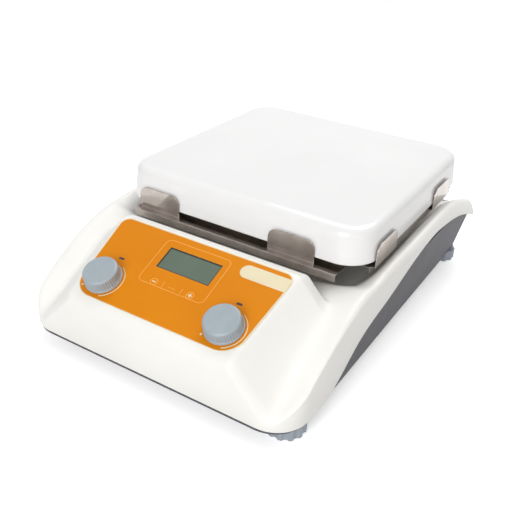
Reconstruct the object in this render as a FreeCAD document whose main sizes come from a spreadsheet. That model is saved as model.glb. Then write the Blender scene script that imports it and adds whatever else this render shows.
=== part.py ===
import FreeCAD, Part
# Laboratory hotplate stirrer, built as its separate pieces.
# Origin: middle of the footprint, on the bench. +Z up, the control panel faces -Y.
# Millimetres. Every driving size is one cell of the sheet "Sizes".
import math
import os
import re

import Sketcher

SIZES = (
    ("body_depth", 412, "housing, front wall to rear wall"),
    ("front_half_width", 136, "half width at the front wall"),
    ("rear_half_width", 151.4, "half width at the rear wall"),
    ("corner_radius", 30, "upright corners of the housing"),
    ("shell_wall", 2.5, "moulded wall of both shells"),
    ("seam_gap", 0.2, "joint line between the two shells"),
    ("well_floor", 56, "height of the floor under the plate"),
    ("tub_half_width", 108, "half width of the well's floor"),
    ("tub_side_slope", 56, "degrees, sides of the well under the plate"),
    ("tub_front_y", -74, "front edge of the well's floor"),
    ("crest_half_width", 140, "side rail crest from the middle"),
    ("rail_fall_in", 0.5, "slope of a rail towards the well"),
    ("rail_fall_out", 1.3, "slope of a rail towards the outside"),
    ("crest_front_z", 33, "rail crest height at the front wall"),
    ("crest_cheek_z", 59, "rail crest height beside the dials"),
    ("crest_shoulder_z", 86, "rail crest height beside the panel top"),
    ("crest_flank_z", 92.5, "rail crest height ahead of the plate middle"),
    ("crest_waist_z", 95, "highest point of the rail crest"),
    ("crest_haunch_z", 89, "rail crest height behind the plate middle"),
    ("crest_tail_z", 64, "rail crest height at the rear wall"),
    ("crest_cheek_y", -165, ""),
    ("crest_shoulder_y", -103, ""),
    ("crest_flank_y", -30, ""),
    ("crest_waist_y", 60, ""),
    ("crest_haunch_y", 130, ""),
    ("seam_front_z", 17, "joint line height along the front"),
    ("seam_knee_z", 22, ""),
    ("seam_rise_z", 44, ""),
    ("seam_side_z", 60, ""),
    ("seam_middle_z", 75, ""),
    ("seam_top_z", 83, "highest point of the side arch"),
    ("seam_rear_z", 52, "joint line height at the rear wall"),
    ("seam_foot_y", -160, ""),
    ("seam_knee_y", -138, ""),
    ("seam_rise_y", -102, ""),
    ("seam_side_y", -50, ""),
    ("seam_middle_y", 1, ""),
    ("seam_top_y", 94, ""),
    ("base_low_z", 12, "underside of the base above the bench"),
    ("base_low_half_width", 135.5, "half width of the base at its underside"),
    ("base_lip", 0.6, "base set back under the upper shell"),
    ("rear_setback", 2, "base's rear wall set back under the upper shell"),
    ("panel_slope", 22.84, "degrees"),
    ("panel_length", 86.7, "panel, lower edge to upper edge"),
    ("panel_low_width", 161.2, "panel width at its lower edge"),
    ("panel_high_width", 178.6, "panel width at its upper edge"),
    ("panel_low_round", 20, "lower corners of the panel"),
    ("panel_high_round", 9, "upper corners of the panel"),
    ("panel_setback", 6.7, "panel's lower edge behind the front wall"),
    ("panel_foot_z", 67.6, "height of the panel's lower edge"),
    ("panel_margin", 2, "podium edge round the panel"),
    ("panel_round", 3, "rounded edges of the podium round the panel"),
    ("nose_round", 4, "rounded edge above the front wall"),
    ("crest_round", 5, "rounded rail crests"),
    ("gutter_round", 6, "valley between podium and rail"),
    ("nose_slope", 42, "degrees, bevel between panel and front wall"),
    ("podium_ledge", 13, "level top behind the panel"),
    ("podium_side_slope", 47, "degrees, side bevels of the podium"),
    ("podium_rear_slope", 75, "degrees, rear face of the podium"),
    ("overlay_thick", 0.6, "printed sheet on the panel"),
    ("display_width", 53.4, "display window"),
    ("display_height", 23, ""),
    ("display_rise", 17.3, "window centre above the panel centre"),
    ("window_thick", 1.2, ""),
    ("module_depth", 8, "display module behind its window"),
    ("module_border", 3, ""),
    ("key_width", 12.4, "each membrane key"),
    ("key_height", 9, ""),
    ("key_pitch", 15.6, ""),
    ("key_drop", -7.6, "keys below the panel centre"),
    ("key_stem_width", 7, ""),
    ("key_stem_height", 5, ""),
    ("key_flange", 1.4, "flange round a key's stem"),
    ("key_flange_thick", 0.8, ""),
    ("key_travel", 0.4, ""),
    ("key_gap", 0.3, "clearance round a key"),
    ("dial_spread", 60.9, "dial centre from the middle"),
    ("dial_drop", -23.1, "dial centres below the panel centre"),
    ("knob_base_radius", 17, ""),
    ("knob_cap_radius", 14.9, ""),
    ("knob_top_radius", 13.6, ""),
    ("knob_skirt", 2.6, "thickness of the knob's skirt"),
    ("knob_height", 13, ""),
    ("knob_lift", 0.6, "gap between knob and panel sheet"),
    ("knob_edge", 0.8, "chamfer of the skirt"),
    ("knob_step", 0.6, "slope between skirt and grip"),
    ("knob_crown", 1, "chamfer of the knob's face"),
    ("knob_rib_radius", 0.75, "grip flutes"),
    ("knob_rib_count", 36, ""),
    ("shaft_radius", 3, "dial shaft"),
    ("shaft_fit", 0.05, "running clearance on the radius"),
    ("bush_radius", 4.5, "threaded bush of a potentiometer"),
    ("pot_radius", 8.5, ""),
    ("pot_height", 9, ""),
    ("lamp_spread", 60.1, "lamp slot from the middle"),
    ("lamp_rise", 0.8, ""),
    ("lamp_width", 5.6, "lamp slots lie across the panel"),
    ("lamp_height", 2.2, ""),
    ("board_depth", 16, "control board below the panel face"),
    ("board_thick", 1.6, ""),
    ("control_board_width", 156, ""),
    ("control_board_height", 74, ""),
    ("board_spacer_radius", 3, ""),
    ("board_spacer_inset", 8, "spacers from the ends of the control board"),
    ("board_spacer_edge", 7, "spacers from its long edges"),
    ("board_spacer_shift", 3, "spacers sit low on the board"),
    ("plate_centre_y", 49, ""),
    ("plate_side", 256, "plate, across its lower rim"),
    ("plate_draft", 5.4, "degrees, lean of the plate's sides"),
    ("plate_height", 32, ""),
    ("plate_rim_z", 98, ""),
    ("plate_corner", 30, "upright corners of the plate"),
    ("plate_edge", 7, "rounded top edge"),
    ("plate_roof", 9, "thickness under the working face"),
    ("plate_wall", 6, ""),
    ("tray_z", 92.4, "underside of the tray"),
    ("tray_thick", 0.8, ""),
    ("tray_reach", 136.5, "front and rear flanges from the plate centre"),
    ("tray_half_width", 125, "side flanges from the plate centre"),
    ("tray_flange_half", 107, "half length of each flange"),
    ("tray_flange_drop", 6, ""),
    ("clip_width", 46, ""),
    ("clip_rise", 20.5, ""),
    ("clip_round", 9, ""),
    ("clip_gap", 0.4, "clip to plate rim"),
    ("clip_near", -82, "clip centres along each side"),
    ("clip_far", 60, ""),
    ("post_spread", 55, "posts from the plate centre"),
    ("post_radius", 6, ""),
    ("stud_radius", 2.5, "plate screws"),
    ("stud_gap", 0.3, ""),
    ("stud_head_radius", 4.5, ""),
    ("stud_head_height", 3, ""),
    ("stud_bite", 5, "screw end inside the plate"),
    ("heater_side", 210, ""),
    ("heater_thick", 7, ""),
    ("heater_eye", 32, "radius of the heater's open middle"),
    ("sensor_radius", 5, ""),
    ("sensor_height", 6, ""),
    ("sensor_spread", 14, ""),
    ("cutout_radius", 8, ""),
    ("turret_radius", 55, "round housing over the magnet"),
    ("turret_top_z", 89, ""),
    ("carrier_radius", 42, ""),
    ("carrier_height", 11, ""),
    ("carrier_gap", 1.5, "carrier under the turret roof"),
    ("carrier_hub_drop", 6, ""),
    ("magnet_radius", 11, ""),
    ("magnet_height", 8, ""),
    ("magnet_spread", 27, ""),
    ("motor_radius", 35, ""),
    ("motor_height", 28, ""),
    ("motor_floor", 2, "motor case under its low bearing"),
    ("bearing_room", 1, ""),
    ("motor_shaft_radius", 4, ""),
    ("bearing_radius", 11, ""),
    ("bearing_height", 7, ""),
    ("bracket_length", 136, ""),
    ("bracket_width", 56, ""),
    ("bracket_thick", 3, ""),
    ("bracket_boss_height", 3.5, ""),
    ("bracket_screw_x", 61, ""),
    ("bracket_screw_y", 18, ""),
    ("foot_radius", 17.25, ""),
    ("foot_height", 11.7, ""),
    ("foot_scallop_radius", 3.4, ""),
    ("foot_scallop_count", 12, ""),
    ("foot_pad_radius", 11, "recess inside the tread"),
    ("foot_stud_radius", 4, ""),
    ("foot_stud_height", 15, ""),
    ("foot_fit", 0.05, ""),
    ("foot_front_inset", 19, "front feet from the sides of the base"),
    ("foot_rear_inset", 13.5, "rear feet from the sides of the base"),
    ("foot_end_inset", 32, "feet from the front and rear walls"),
    ("screw_radius", 1.75, "small screws"),
    ("screw_head_radius", 3.2, ""),
    ("screw_head_height", 2, ""),
    ("screw_bite", 9, ""),
    ("boss_radius", 5, ""),
    ("boss_side_inset", 37.5, "housing screws from the sides of the base"),
    ("boss_end_inset", 22, "housing screws from the front and rear walls"),
    ("boss_foot_gap", 0.2, ""),
    ("power_board_width", 72, ""),
    ("power_board_length", 104, ""),
    ("power_board_x", -88, ""),
    ("power_board_inset", 106, "middle of the board from the rear wall"),
    ("power_board_rise", 6, "spacers under the power board"),
    ("power_screw_inset", 5, ""),
    ("tall_part_offset", 24, "tall parts from the middle of the board, lengthwise"),
    ("relay_width", 16, ""),
    ("relay_length", 28, ""),
    ("relay_height", 15, ""),
    ("relay_offset", 20, ""),
    ("capacitor_radius", 9, ""),
    ("capacitor_height", 18, ""),
    ("capacitor_offset", 22, ""),
    ("transformer_width", 46, ""),
    ("transformer_length", 56, ""),
    ("transformer_height", 34, ""),
    ("transformer_x", 88, ""),
    ("transformer_inset", 110, ""),
    ("sink_width", 34, ""),
    ("sink_height", 20, ""),
    ("sink_fin_thick", 1.6, ""),
    ("sink_fin_length", 14, ""),
    ("sink_fin_count", 6, ""),
    ("inlet_x", -72, ""),
    ("socket_z", 34, "height of the sockets in the rear wall"),
    ("inlet_width", 27, ""),
    ("inlet_height", 20, ""),
    ("inlet_depth", 22, ""),
    ("inlet_flange", 2.5, "flange beyond the cut-out"),
    ("flange_thick", 2, ""),
    ("socket_wall", 1.5, ""),
    ("pin_length", 14, ""),
    ("pin_pitch", 7, ""),
    ("pin_width", 2, ""),
    ("pin_height", 4, ""),
    ("switch_x", -30, ""),
    ("switch_width", 19, ""),
    ("switch_height", 28, ""),
    ("switch_depth", 18, ""),
    ("rocker_width", 13, ""),
    ("rocker_radius", 10.6, ""),
    ("rocker_tilt", 8, "degrees each way"),
    ("rocker_gap", 0.4, ""),
    ("rocker_sink", 6, "rocker pivot inside the rear wall"),
    ("probe_x", 30, ""),
    ("probe_radius", 6.5, ""),
    ("probe_bore", 4.4, ""),
    ("probe_depth", 14, ""),
    ("rod_inset", 13, "support rod socket from the rear wall"),
    ("rod_radius", 5, ""),
    ("rod_barrel_radius", 7.5, ""),
    ("rod_flange_radius", 9.5, ""),
    ("rod_flange_thick", 2.4, ""),
    ("rod_depth", 24, ""),
    ("rod_floor", 3, "closed lower end of the rod socket"),
    ("vent_width", 3, ""),
    ("vent_height", 18, ""),
    ("vent_pitch", 7, ""),
    ("vent_count", 7, ""),
    ("vent_x", 62, "first vent slot"),
)

doc = FreeCAD.newDocument("hotplate_stirrer")
sheet = doc.addObject("Spreadsheet::Sheet", "Sizes")
for row, (alias, number, note) in enumerate(SIZES, 1):
    sheet.set(f"A{row}", alias)
    sheet.set(f"B{row}", str(number))
    sheet.set(f"C{row}", note)
    sheet.setAlias(f"B{row}", alias)
doc.recompute()

S = {alias: float(sheet.get(alias)) for alias, number, note in SIZES}
V = FreeCAD.Vector
X_AXIS = V(1, 0, 0)
Y_AXIS = V(0, 1, 0)
Z_AXIS = V(0, 0, 1)
NODES = []

# Places that several pieces share, as expressions of the sheet's cells.
PANEL_Y = "(panel_setback - body_depth / 2 + panel_length / 2 * cos(panel_slope))"
PANEL_Z = "(panel_foot_z + panel_length / 2 * sin(panel_slope))"
FLOOR_INSIDE = "(well_floor - shell_wall / cos(panel_slope))"
BASE_INSIDE = "(base_low_z + shell_wall)"
REAR_OUTSIDE = "(body_depth / 2 - rear_setback)"
TRAY_TOP = "(tray_z + tray_thick)"
CEILING = "(plate_rim_z + plate_height - plate_roof)"
HEATER_Z = "(plate_rim_z + plate_height - plate_roof - heater_thick)"
BRACKET_Z = f"({FLOOR_INSIDE} - bracket_boss_height - bracket_thick)"
MOTOR_Z = f"({BRACKET_Z} - motor_height)"
TURRET_INSIDE = "(turret_top_z - shell_wall / cos(panel_slope))"
CARRIER_Z = f"({TURRET_INSIDE} - carrier_gap - carrier_height)"
FOOT_Y = "(body_depth / 2 - foot_end_inset)"
FRONT_FOOT_X = "(base_low_half_width - foot_front_inset)"
REAR_FOOT_X = "(base_low_half_width - foot_rear_inset)"
BOSS_X = "(base_low_half_width - boss_side_inset)"
BOSS_Y = "(body_depth / 2 - boss_end_inset)"
ROD_Y = "(body_depth / 2 - rod_inset)"
POWER_Y = "(body_depth / 2 - power_board_inset)"
TRANSFORMER_Y = "(body_depth / 2 - transformer_inset)"
SPACER_X = "(control_board_width / 2 - board_spacer_inset)"
SPACER_Y = "(control_board_height / 2 - board_spacer_edge)"
CLOSE = 0.01


def cells(text):
    """The same expression with each size looked up in the sheet."""
    return re.sub(r"[a-z]+(?:_[a-z]+)+", lambda found: "Sizes." + found.group(), str(text))


probe = doc.addObject("App::FeaturePython", "Probe")


def number_of(text):
    """Value of an expression, worked out by the sheet's own rules."""
    return float(FreeCAD.Units.Quantity(probe.evalExpression(cells(text))).Value)


def bind(thing, **sizes):
    """Tie properties of an object to expressions."""
    for name, text in sizes.items():
        thing.setExpression(name, cells(text))


def place(thing, x=0, y=0, z=0, turn=None):
    """Put an object at a point given by expressions, turned once."""
    thing.Placement = FreeCAD.Placement(V(), turn or FreeCAD.Rotation())
    thing.setExpression("Placement.Base.x", cells(x))
    thing.setExpression("Placement.Base.y", cells(y))
    thing.setExpression("Placement.Base.z", cells(z))
    return thing


def place_on_panel(thing, across=0, up=0, out=0, spin=0):
    """Put an object in the panel's own frame: across, up the slope, out of the face."""
    slope = FreeCAD.Rotation(X_AXIS, S["panel_slope"])
    turn = slope.multiply(FreeCAD.Rotation(Z_AXIS, spin))
    y = f"{PANEL_Y} + ({up}) * cos(panel_slope) - ({out}) * sin(panel_slope)"
    z = f"{PANEL_Z} + ({up}) * sin(panel_slope) + ({out}) * cos(panel_slope)"
    return place(thing, across, y, z, turn)


def node(thing, name):
    """Name a finished piece and list it for export."""
    thing.Label = name
    NODES.append(thing)
    return thing


def box(name, size, at=(0, 0, 0), panel=False):
    """Block centred in plan on a point, standing on it."""
    block = doc.addObject("Part::Box", name)
    bind(block, Length=size[0], Width=size[1], Height=size[2])
    put = place_on_panel if panel else place
    return put(block, f"({at[0]}) - ({size[0]}) / 2", f"({at[1]}) - ({size[1]}) / 2", at[2])


def cylinder(name, radius, height, at=(0, 0, 0), panel=False, turn=None):
    """Cylinder standing on a point, or lying along a turned axis."""
    rod = doc.addObject("Part::Cylinder", name)
    bind(rod, Radius=radius, Height=height)
    if panel:
        return place_on_panel(rod, *at)
    return place(rod, *at, turn)


def cut(name, base, *tools):
    """Base with every tool taken out of it."""
    tool = tools[0] if len(tools) == 1 else fuse(name + " tools", *tools)
    result = doc.addObject("Part::Cut", name)
    result.Base = base
    result.Tool = tool
    return result


def fuse(name, *parts):
    """One solid of several."""
    result = doc.addObject("Part::MultiFuse", name)
    result.Shapes = list(parts)
    result.Refine = True
    return result


def group(name, *parts):
    """Separate solids that share one node."""
    result = doc.addObject("Part::Compound", name)
    result.Links = list(parts)
    return node(result, name)


def screw(name, radius, length, head_radius, head_height, at, panel=False, flip=False):
    """Pan-head screw: shank up from the head, or down from it when flipped."""
    x, y, z = at
    shank_z = f"({z}) - ({length})" if flip else z
    head_z = z if flip else f"({z}) - ({head_height})"
    shank = cylinder(name + " shank", radius, length, (x, y, shank_z), panel)
    head = cylinder(name + " head", head_radius, head_height, (x, y, head_z), panel)
    return fuse(name, shank, head)


def plane_of(body, role):
    """Origin plane of a body by its role."""
    return [item for item in body.Origin.OriginFeatures if item.Role == role][0]


def sketch(body, name, role="XY_Plane", height=0):
    """Sketch on an origin plane of its own body, raised by an expression."""
    drawing = body.newObject("Sketcher::SketchObject", name)
    drawing.AttachmentSupport = [(plane_of(body, role), "")]
    drawing.MapMode = "FlatFace"
    drawing.setExpression("AttachmentOffset.Base.z", cells(height))
    return drawing


def draw_outline(drawing, corners):
    """Closed outline whose corners are held by expressions."""
    count = len(corners)
    points = [V(number_of(x), number_of(y), 0) for x, y in corners]
    first = drawing.GeometryCount
    for index in range(count):
        line = Part.LineSegment(points[index], points[(index + 1) % count])
        drawing.addGeometry(line)
    for index in range(count):
        following = first + (index + 1) % count
        drawing.addConstraint(Sketcher.Constraint("Coincident", first + index, 2, following, 1))
    for index, (x, y) in enumerate(corners):
        for kind, value, text in (("DistanceX", points[index].x, x), ("DistanceY", points[index].y, y)):
            held = drawing.addConstraint(Sketcher.Constraint(kind, first + index, 1, value))
            drawing.setExpression(f"Constraints[{held}]", cells(text))


def draw_circle(drawing, radius, x=0, y=0):
    """Circle with its radius and centre held by expressions."""
    centre = V(number_of(x), number_of(y), 0)
    index = drawing.addGeometry(Part.Circle(centre, Z_AXIS, number_of(radius)))
    rules = (
        (Sketcher.Constraint("Radius", index, number_of(radius)), radius),
        (Sketcher.Constraint("DistanceX", index, 3, centre.x), x),
        (Sketcher.Constraint("DistanceY", index, 3, centre.y), y),
    )
    for rule, text in rules:
        held = drawing.addConstraint(rule)
        drawing.setExpression(f"Constraints[{held}]", cells(text))


def draw_rounded(drawing, width, depth, radius):
    """Rectangle centred on the origin, with its corners rounded."""
    half_x, half_y, bend = number_of(f"({width}) / 2"), number_of(f"({depth}) / 2"), number_of(radius)
    near_x, near_y = half_x - bend, half_y - bend
    runs = (
        (V(-near_x, -half_y, 0), V(near_x, -half_y, 0)),
        (V(half_x, -near_y, 0), V(half_x, near_y, 0)),
        (V(near_x, half_y, 0), V(-near_x, half_y, 0)),
        (V(-half_x, near_y, 0), V(-half_x, -near_y, 0)),
    )
    centres = (V(near_x, -near_y, 0), V(near_x, near_y, 0), V(-near_x, near_y, 0), V(-near_x, -near_y, 0))
    for start, end in runs:
        drawing.addGeometry(Part.LineSegment(start, end))
    for index, centre in enumerate(centres):
        turn = math.pi / 2
        circle = Part.Circle(centre, Z_AXIS, bend)
        drawing.addGeometry(Part.ArcOfCircle(circle, (index - 1) * turn, index * turn))
    for index in range(4):
        arc = 4 + index
        drawing.addConstraint(Sketcher.Constraint("Tangent", index, 2, arc, 1))
        drawing.addConstraint(Sketcher.Constraint("Tangent", arc, 2, (index + 1) % 4, 1))
        drawing.addConstraint(Sketcher.Constraint("Vertical" if index % 2 else "Horizontal", index))
    for arc in (5, 6, 7):
        drawing.addConstraint(Sketcher.Constraint("Equal", 4, arc))
    rules = (
        (Sketcher.Constraint("Radius", 4, bend), radius),
        (Sketcher.Constraint("DistanceY", 0, 1, -half_y), f"-({depth}) / 2"),
        (Sketcher.Constraint("DistanceX", 1, 1, half_x), f"({width}) / 2"),
        (Sketcher.Constraint("DistanceY", 2, 1, half_y), f"({depth}) / 2"),
        (Sketcher.Constraint("DistanceX", 3, 1, -half_x), f"-({width}) / 2"),
    )
    for rule, text in rules:
        held = drawing.addConstraint(rule)
        drawing.setExpression(f"Constraints[{held}]", cells(text))


def add(body, kind, name, profile=None, **sizes):
    """Feature of a body, with its sizes bound."""
    feature = body.newObject(kind, name)
    if profile is not None:
        feature.Profile = profile
    bind(feature, **sizes)
    return feature


def new_body(name):
    """Body for one piece."""
    return doc.addObject("PartDesign::Body", name + " body")


def pattern_round(body, name, feature, count):
    """Repeat a feature evenly round the body's Z axis."""
    ring = body.newObject("PartDesign::PolarPattern", name)
    ring.Originals = [feature]
    axis = [item for item in body.Origin.OriginFeatures if item.Role == "Z_Axis"][0]
    ring.Axis = (axis, [""])
    ring.Angle = 360
    ring.setExpression("Occurrences", cells(count))
    body.Tip = ring
    return ring


def edges_where(feature, test):
    """Names of the edges whose middle and direction pass a test."""
    doc.recompute()
    chosen = []
    for index, edge in enumerate(feature.Shape.Edges, 1):
        first, last = edge.ParameterRange
        middle = edge.valueAt((first + last) / 2)
        direction = edge.tangentAt((first + last) / 2)
        if test(middle, direction):
            chosen.append(f"Edge{index}")
    return chosen


def fillet(body, name, feature, test, radius):
    """Round the chosen edges of a body's last feature."""
    names = edges_where(feature, test)
    rounding = body.newObject("PartDesign::Fillet", name)
    rounding.Base = (feature, names)
    rounding.setExpression("Radius", cells(radius))
    return rounding


# Shapes that only a curve or a set of planes can give are made from these.


def rounded_wire(corners, radii):
    """Closed wire through plan corners, each one rounded by its radius."""
    count = len(corners)
    arcs = []
    for index in range(count):
        here = corners[index]
        back = (corners[index - 1] - here).normalize()
        ahead = (corners[(index + 1) % count] - here).normalize()
        half = back.getAngle(ahead) / 2
        reach = radii[index] / math.tan(half)
        inward = (back + ahead).normalize()
        centre = here + inward * (radii[index] / math.sin(half))
        arcs.append((here + back * reach, centre - inward * radii[index], here + ahead * reach))
    edges = []
    for index in range(count):
        start, middle, end = arcs[index]
        edges.append(Part.Arc(start, middle, end).toShape())
        edges.append(Part.LineSegment(end, arcs[(index + 1) % count][0]).toShape())
    return Part.Wire(edges)


def plan_wire(front_half, rear_half, front, rear, radius, height):
    """Plan outline of the housing or base at one height."""
    corners = [
        V(-front_half, front, height),
        V(front_half, front, height),
        V(rear_half, rear, height),
        V(-rear_half, rear, height),
    ]
    return rounded_wire(corners, [radius] * 4)


ROOM = 200


def curtain(points, far, x, level_start=False):
    """Face in the plane X = x, between a smooth line through points and a far level."""
    first = V(x, -S["body_depth"] / 2 - ROOM / 10, points[0][1])
    last = V(x, S["body_depth"] / 2 + ROOM / 10, points[-1][1])
    line = Part.BSplineCurve()
    places = [V(x, y, z) for y, z in points]
    start_way = Y_AXIS if level_start else (places[1] - places[0]).normalize()
    end_way = (places[-1] - places[-2]).normalize()
    line.interpolate(Points=places, InitialTangent=start_way, FinalTangent=end_way)
    edges = [
        Part.LineSegment(first, V(x, *points[0])).toShape(),
        line.toShape(),
        Part.LineSegment(V(x, *points[-1]), last).toShape(),
        Part.LineSegment(last, V(x, last.y, far)).toShape(),
        Part.LineSegment(V(x, last.y, far), V(x, first.y, far)).toShape(),
        Part.LineSegment(V(x, first.y, far), first).toShape(),
    ]
    return Part.Face(Part.Wire(edges))


def crest_points(drop):
    """Side view of a rail's crest."""
    half = S["body_depth"] / 2
    inner = [(S[f"crest_{name}_y"], S[f"crest_{name}_z"] - drop)
             for name in ("cheek", "shoulder", "flank", "waist", "haunch")]
    return [(-half, S["crest_front_z"] - drop)] + inner + [(half, S["crest_tail_z"] - drop)]


def seam_points(drop):
    """Side view of the joint line between the shells."""
    half = S["body_depth"] / 2
    inner = [(S[f"seam_{name}_y"], S[f"seam_{name}_z"] - drop)
             for name in ("knee", "rise", "side", "middle", "top")]
    foot = (S["seam_foot_y"], S["seam_front_z"] - drop)
    return [foot] + inner + [(half, S["seam_rear_z"] - drop)]


def under_plane(level, lean_x, lean_y):
    """Everything under the plane z = level + lean_x x + lean_y y."""
    reach = S["body_depth"]
    corners = [V(x, y, level + lean_x * x + lean_y * y)
               for x, y in ((-reach, -reach), (reach, -reach), (reach, reach), (-reach, reach))]
    face = Part.Face(Part.makePolygon(corners + corners[:1]))
    depth = level + reach * (abs(lean_x) + abs(lean_y)) + reach
    return face.extrude(V(0, 0, -depth))


def podium_form(drop):
    """Sloping panel block: planes for nose, panel, ledge and rear, with side bevels."""
    slope = math.radians(S["panel_slope"])
    rise = math.tan(slope)
    foot_y = S["panel_setback"] - S["body_depth"] / 2
    top_y = foot_y + S["panel_length"] * math.cos(slope)
    top_z = S["panel_foot_z"] + S["panel_length"] * math.sin(slope)
    edge_low = S["panel_low_width"] / 2 + S["panel_margin"]
    widen = (S["panel_high_width"] - S["panel_low_width"]) / 2 / (top_y - foot_y)
    fall = math.tan(math.radians(S["podium_side_slope"]))
    margin = S["panel_margin"]
    nose = math.tan(math.radians(S["nose_slope"]))
    back = math.tan(math.radians(S["podium_rear_slope"]))
    tops = (
        (S["panel_foot_z"] - nose * (foot_y - margin) - rise * margin, nose),
        (S["panel_foot_z"] - rise * foot_y, rise),
        (top_z + rise * margin, 0),
        (top_z + back * (top_y + S["podium_ledge"]), -back),
    )
    depth = S["body_depth"]
    form = Part.makeBox(2 * ROOM, depth, ROOM, V(-ROOM, -depth / 2, 0))
    for level, lean in tops:
        form = form.common(under_plane(level - drop, 0, lean))
        for side in (-1, 1):
            side_level = level - drop + fall * (edge_low - widen * foot_y)
            form = form.common(under_plane(side_level, -side * fall, lean + fall * widen))
    return form


def plan_prism(inset):
    """Upright block with the housing's plan outline, or one inset from it."""
    half = S["body_depth"] / 2
    outline = plan_wire(S["front_half_width"] - inset, S["rear_half_width"] - inset,
                        inset - half, half - inset, S["corner_radius"] - inset, 0)
    return Part.Face(outline).extrude(V(0, 0, ROOM))


def tub_form(inset):
    """Well under the plate: sloping sides and front, open to the rear."""
    lean = math.tan(math.radians(S["tub_side_slope"]))
    level = S["well_floor"] - inset
    shift = inset * math.hypot(1, lean) - inset
    form = Part.makeBox(2 * ROOM, 2 * ROOM, ROOM, V(-ROOM, S["tub_front_y"] - ROOM / 4, level))
    for side in (-1, 1):
        side_level = level - shift - lean * S["tub_half_width"]
        form = form.cut(under_plane(side_level, side * lean, 0))
    return form.cut(under_plane(level - shift + lean * S["tub_front_y"], 0, -lean))


def middle_of(edge):
    """Point half way along an edge."""
    first, last = edge.ParameterRange
    return edge.valueAt((first + last) / 2)


def soften(form):
    """Round the edges of the podium, the rail crests, the nose and the valleys between."""
    slope = math.radians(S["panel_slope"])
    way = V(0, -math.sin(slope), math.cos(slope))
    flats = [face for face in form.Faces if isinstance(face.Surface, Part.Plane)]
    facing = [face for face in flats if (face.normalAt(0, 0) - way).Length < CLOSE]
    rim = [middle_of(edge) for edge in max(facing, key=lambda face: face.Area).Edges]
    front = -S["body_depth"] / 2
    panel_y = number_of(PANEL_Y)

    def round_panel(at):
        return any((at - spot).Length < CLOSE for spot in rim)

    def round_crest(at):
        return abs(abs(at.x) - S["crest_half_width"]) < CLOSE and at.y > S["crest_shoulder_y"]

    def round_nose(at):
        return abs(at.y - front) < CLOSE and abs(at.x) < CLOSE and at.z > S["crest_front_z"]

    def round_gutter(at):
        beside = S["panel_high_width"] / 2 < abs(at.x) < S["crest_half_width"] - S["corner_radius"] / 2
        along = abs(at.y - panel_y) < S["corner_radius"] / 2
        return beside and along and at.z < S["crest_cheek_z"]

    for radius, wanted in (("panel_round", round_panel), ("crest_round", round_crest),
                           ("nose_round", round_nose), ("gutter_round", round_gutter)):
        form = form.makeFillet(S[radius], [edge for edge in form.Edges if wanted(middle_of(edge))])
    return form


def housing_form(inset, drop):
    """Outside of the housing, or the room inside it when inset and dropped."""
    half = S["body_depth"] / 2
    prism = plan_prism(inset)
    crest_x = S["crest_half_width"]
    inward = curtain(crest_points(drop), -S["rail_fall_in"] * crest_x, crest_x)
    rail = inward.extrude(V(-crest_x, 0, -S["rail_fall_in"] * crest_x))
    outer = 2 * (S["rear_half_width"] - crest_x)
    rail = rail.fuse(inward.extrude(V(outer, 0, -S["rail_fall_out"] * outer)))
    rails = rail.fuse(rail.mirror(V(), X_AXIS))
    floor_front = S["crest_shoulder_y"] - inset
    well = Part.makeBox(2 * ROOM, half - floor_front, S["well_floor"] - drop, V(-ROOM, floor_front, 0))
    turret = Part.makeCylinder(S["turret_radius"] - inset, S["turret_top_z"] - drop,
                               V(0, S["plate_centre_y"], 0))
    form = rails.fuse([well, podium_form(drop)]).cut(tub_form(inset)).fuse(turret)
    return form.common(prism).removeSplitter()


def beside_seam(drop, side):
    """Everything above the joint line (side 1) or below it (side -1), across the width."""
    face = curtain(seam_points(drop), side * 2 * ROOM, -ROOM, True)
    return face.extrude(V(2 * ROOM, 0, 0))


def feature(name, shape):
    """Piece whose form comes straight from a shape."""
    made = doc.addObject("Part::Feature", name)
    made.Shape = shape
    made.Placement = FreeCAD.Placement()
    return made


def around(radius, height, x, y, z):
    """Upright cylinder as a plain shape."""
    return Part.makeCylinder(radius, height, V(x, y, z))


def on_panel(shape, across=0, up=0, out=0):
    """Plain shape moved into the panel's frame."""
    slope = FreeCAD.Rotation(X_AXIS, S["panel_slope"])
    base = V(0, number_of(PANEL_Y), number_of(PANEL_Z))
    moved = shape.copy()
    moved.translate(V(across, up, out))
    moved.Placement = FreeCAD.Placement(base, slope).multiply(moved.Placement)
    return moved


def slab(width, height, low, high, across=0, up=0):
    """Block on the panel between two depths."""
    block = Part.makeBox(width, height, high - low, V(-width / 2, -height / 2, 0))
    return on_panel(block, across, up, low)


def panel_disc(radius, low, high, across, up):
    """Cylinder through the panel between two depths."""
    return on_panel(Part.makeCylinder(radius, high - low), across, up, low)


KEYS = (("minus_key", -1), ("mode_key", 0), ("plus_key", 1))
DIALS = (("temperature", -1), ("speed", 1))
BOSSES = [(side * number_of(BOSS_X), end * number_of(BOSS_Y)) for side in (-1, 1) for end in (-1, 1)]
POSTS = [(side, end) for side in (-1, 1) for end in (-1, 1)]


def panel_openings(low, high, gap):
    """Cut-outs of the panel for window, keys' stems, lamps and dial bushes."""
    tools = [slab(S["display_width"] + 2 * gap, S["display_height"] + 2 * gap, low, high,
                  0, S["display_rise"])]
    for name, place_index in KEYS:
        tools.append(slab(S["key_stem_width"] + 2 * gap, S["key_stem_height"] + 2 * gap, low, high,
                          place_index * S["key_pitch"], S["key_drop"]))
    for name, side in DIALS:
        tools.append(panel_disc(S["bush_radius"] + gap, low, high, side * S["dial_spread"], S["dial_drop"]))
        tools.append(slab(S["lamp_width"] + 2 * gap, S["lamp_height"] + 2 * gap, low, high,
                          side * S["lamp_spread"], S["lamp_rise"]))
    return tools


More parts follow.
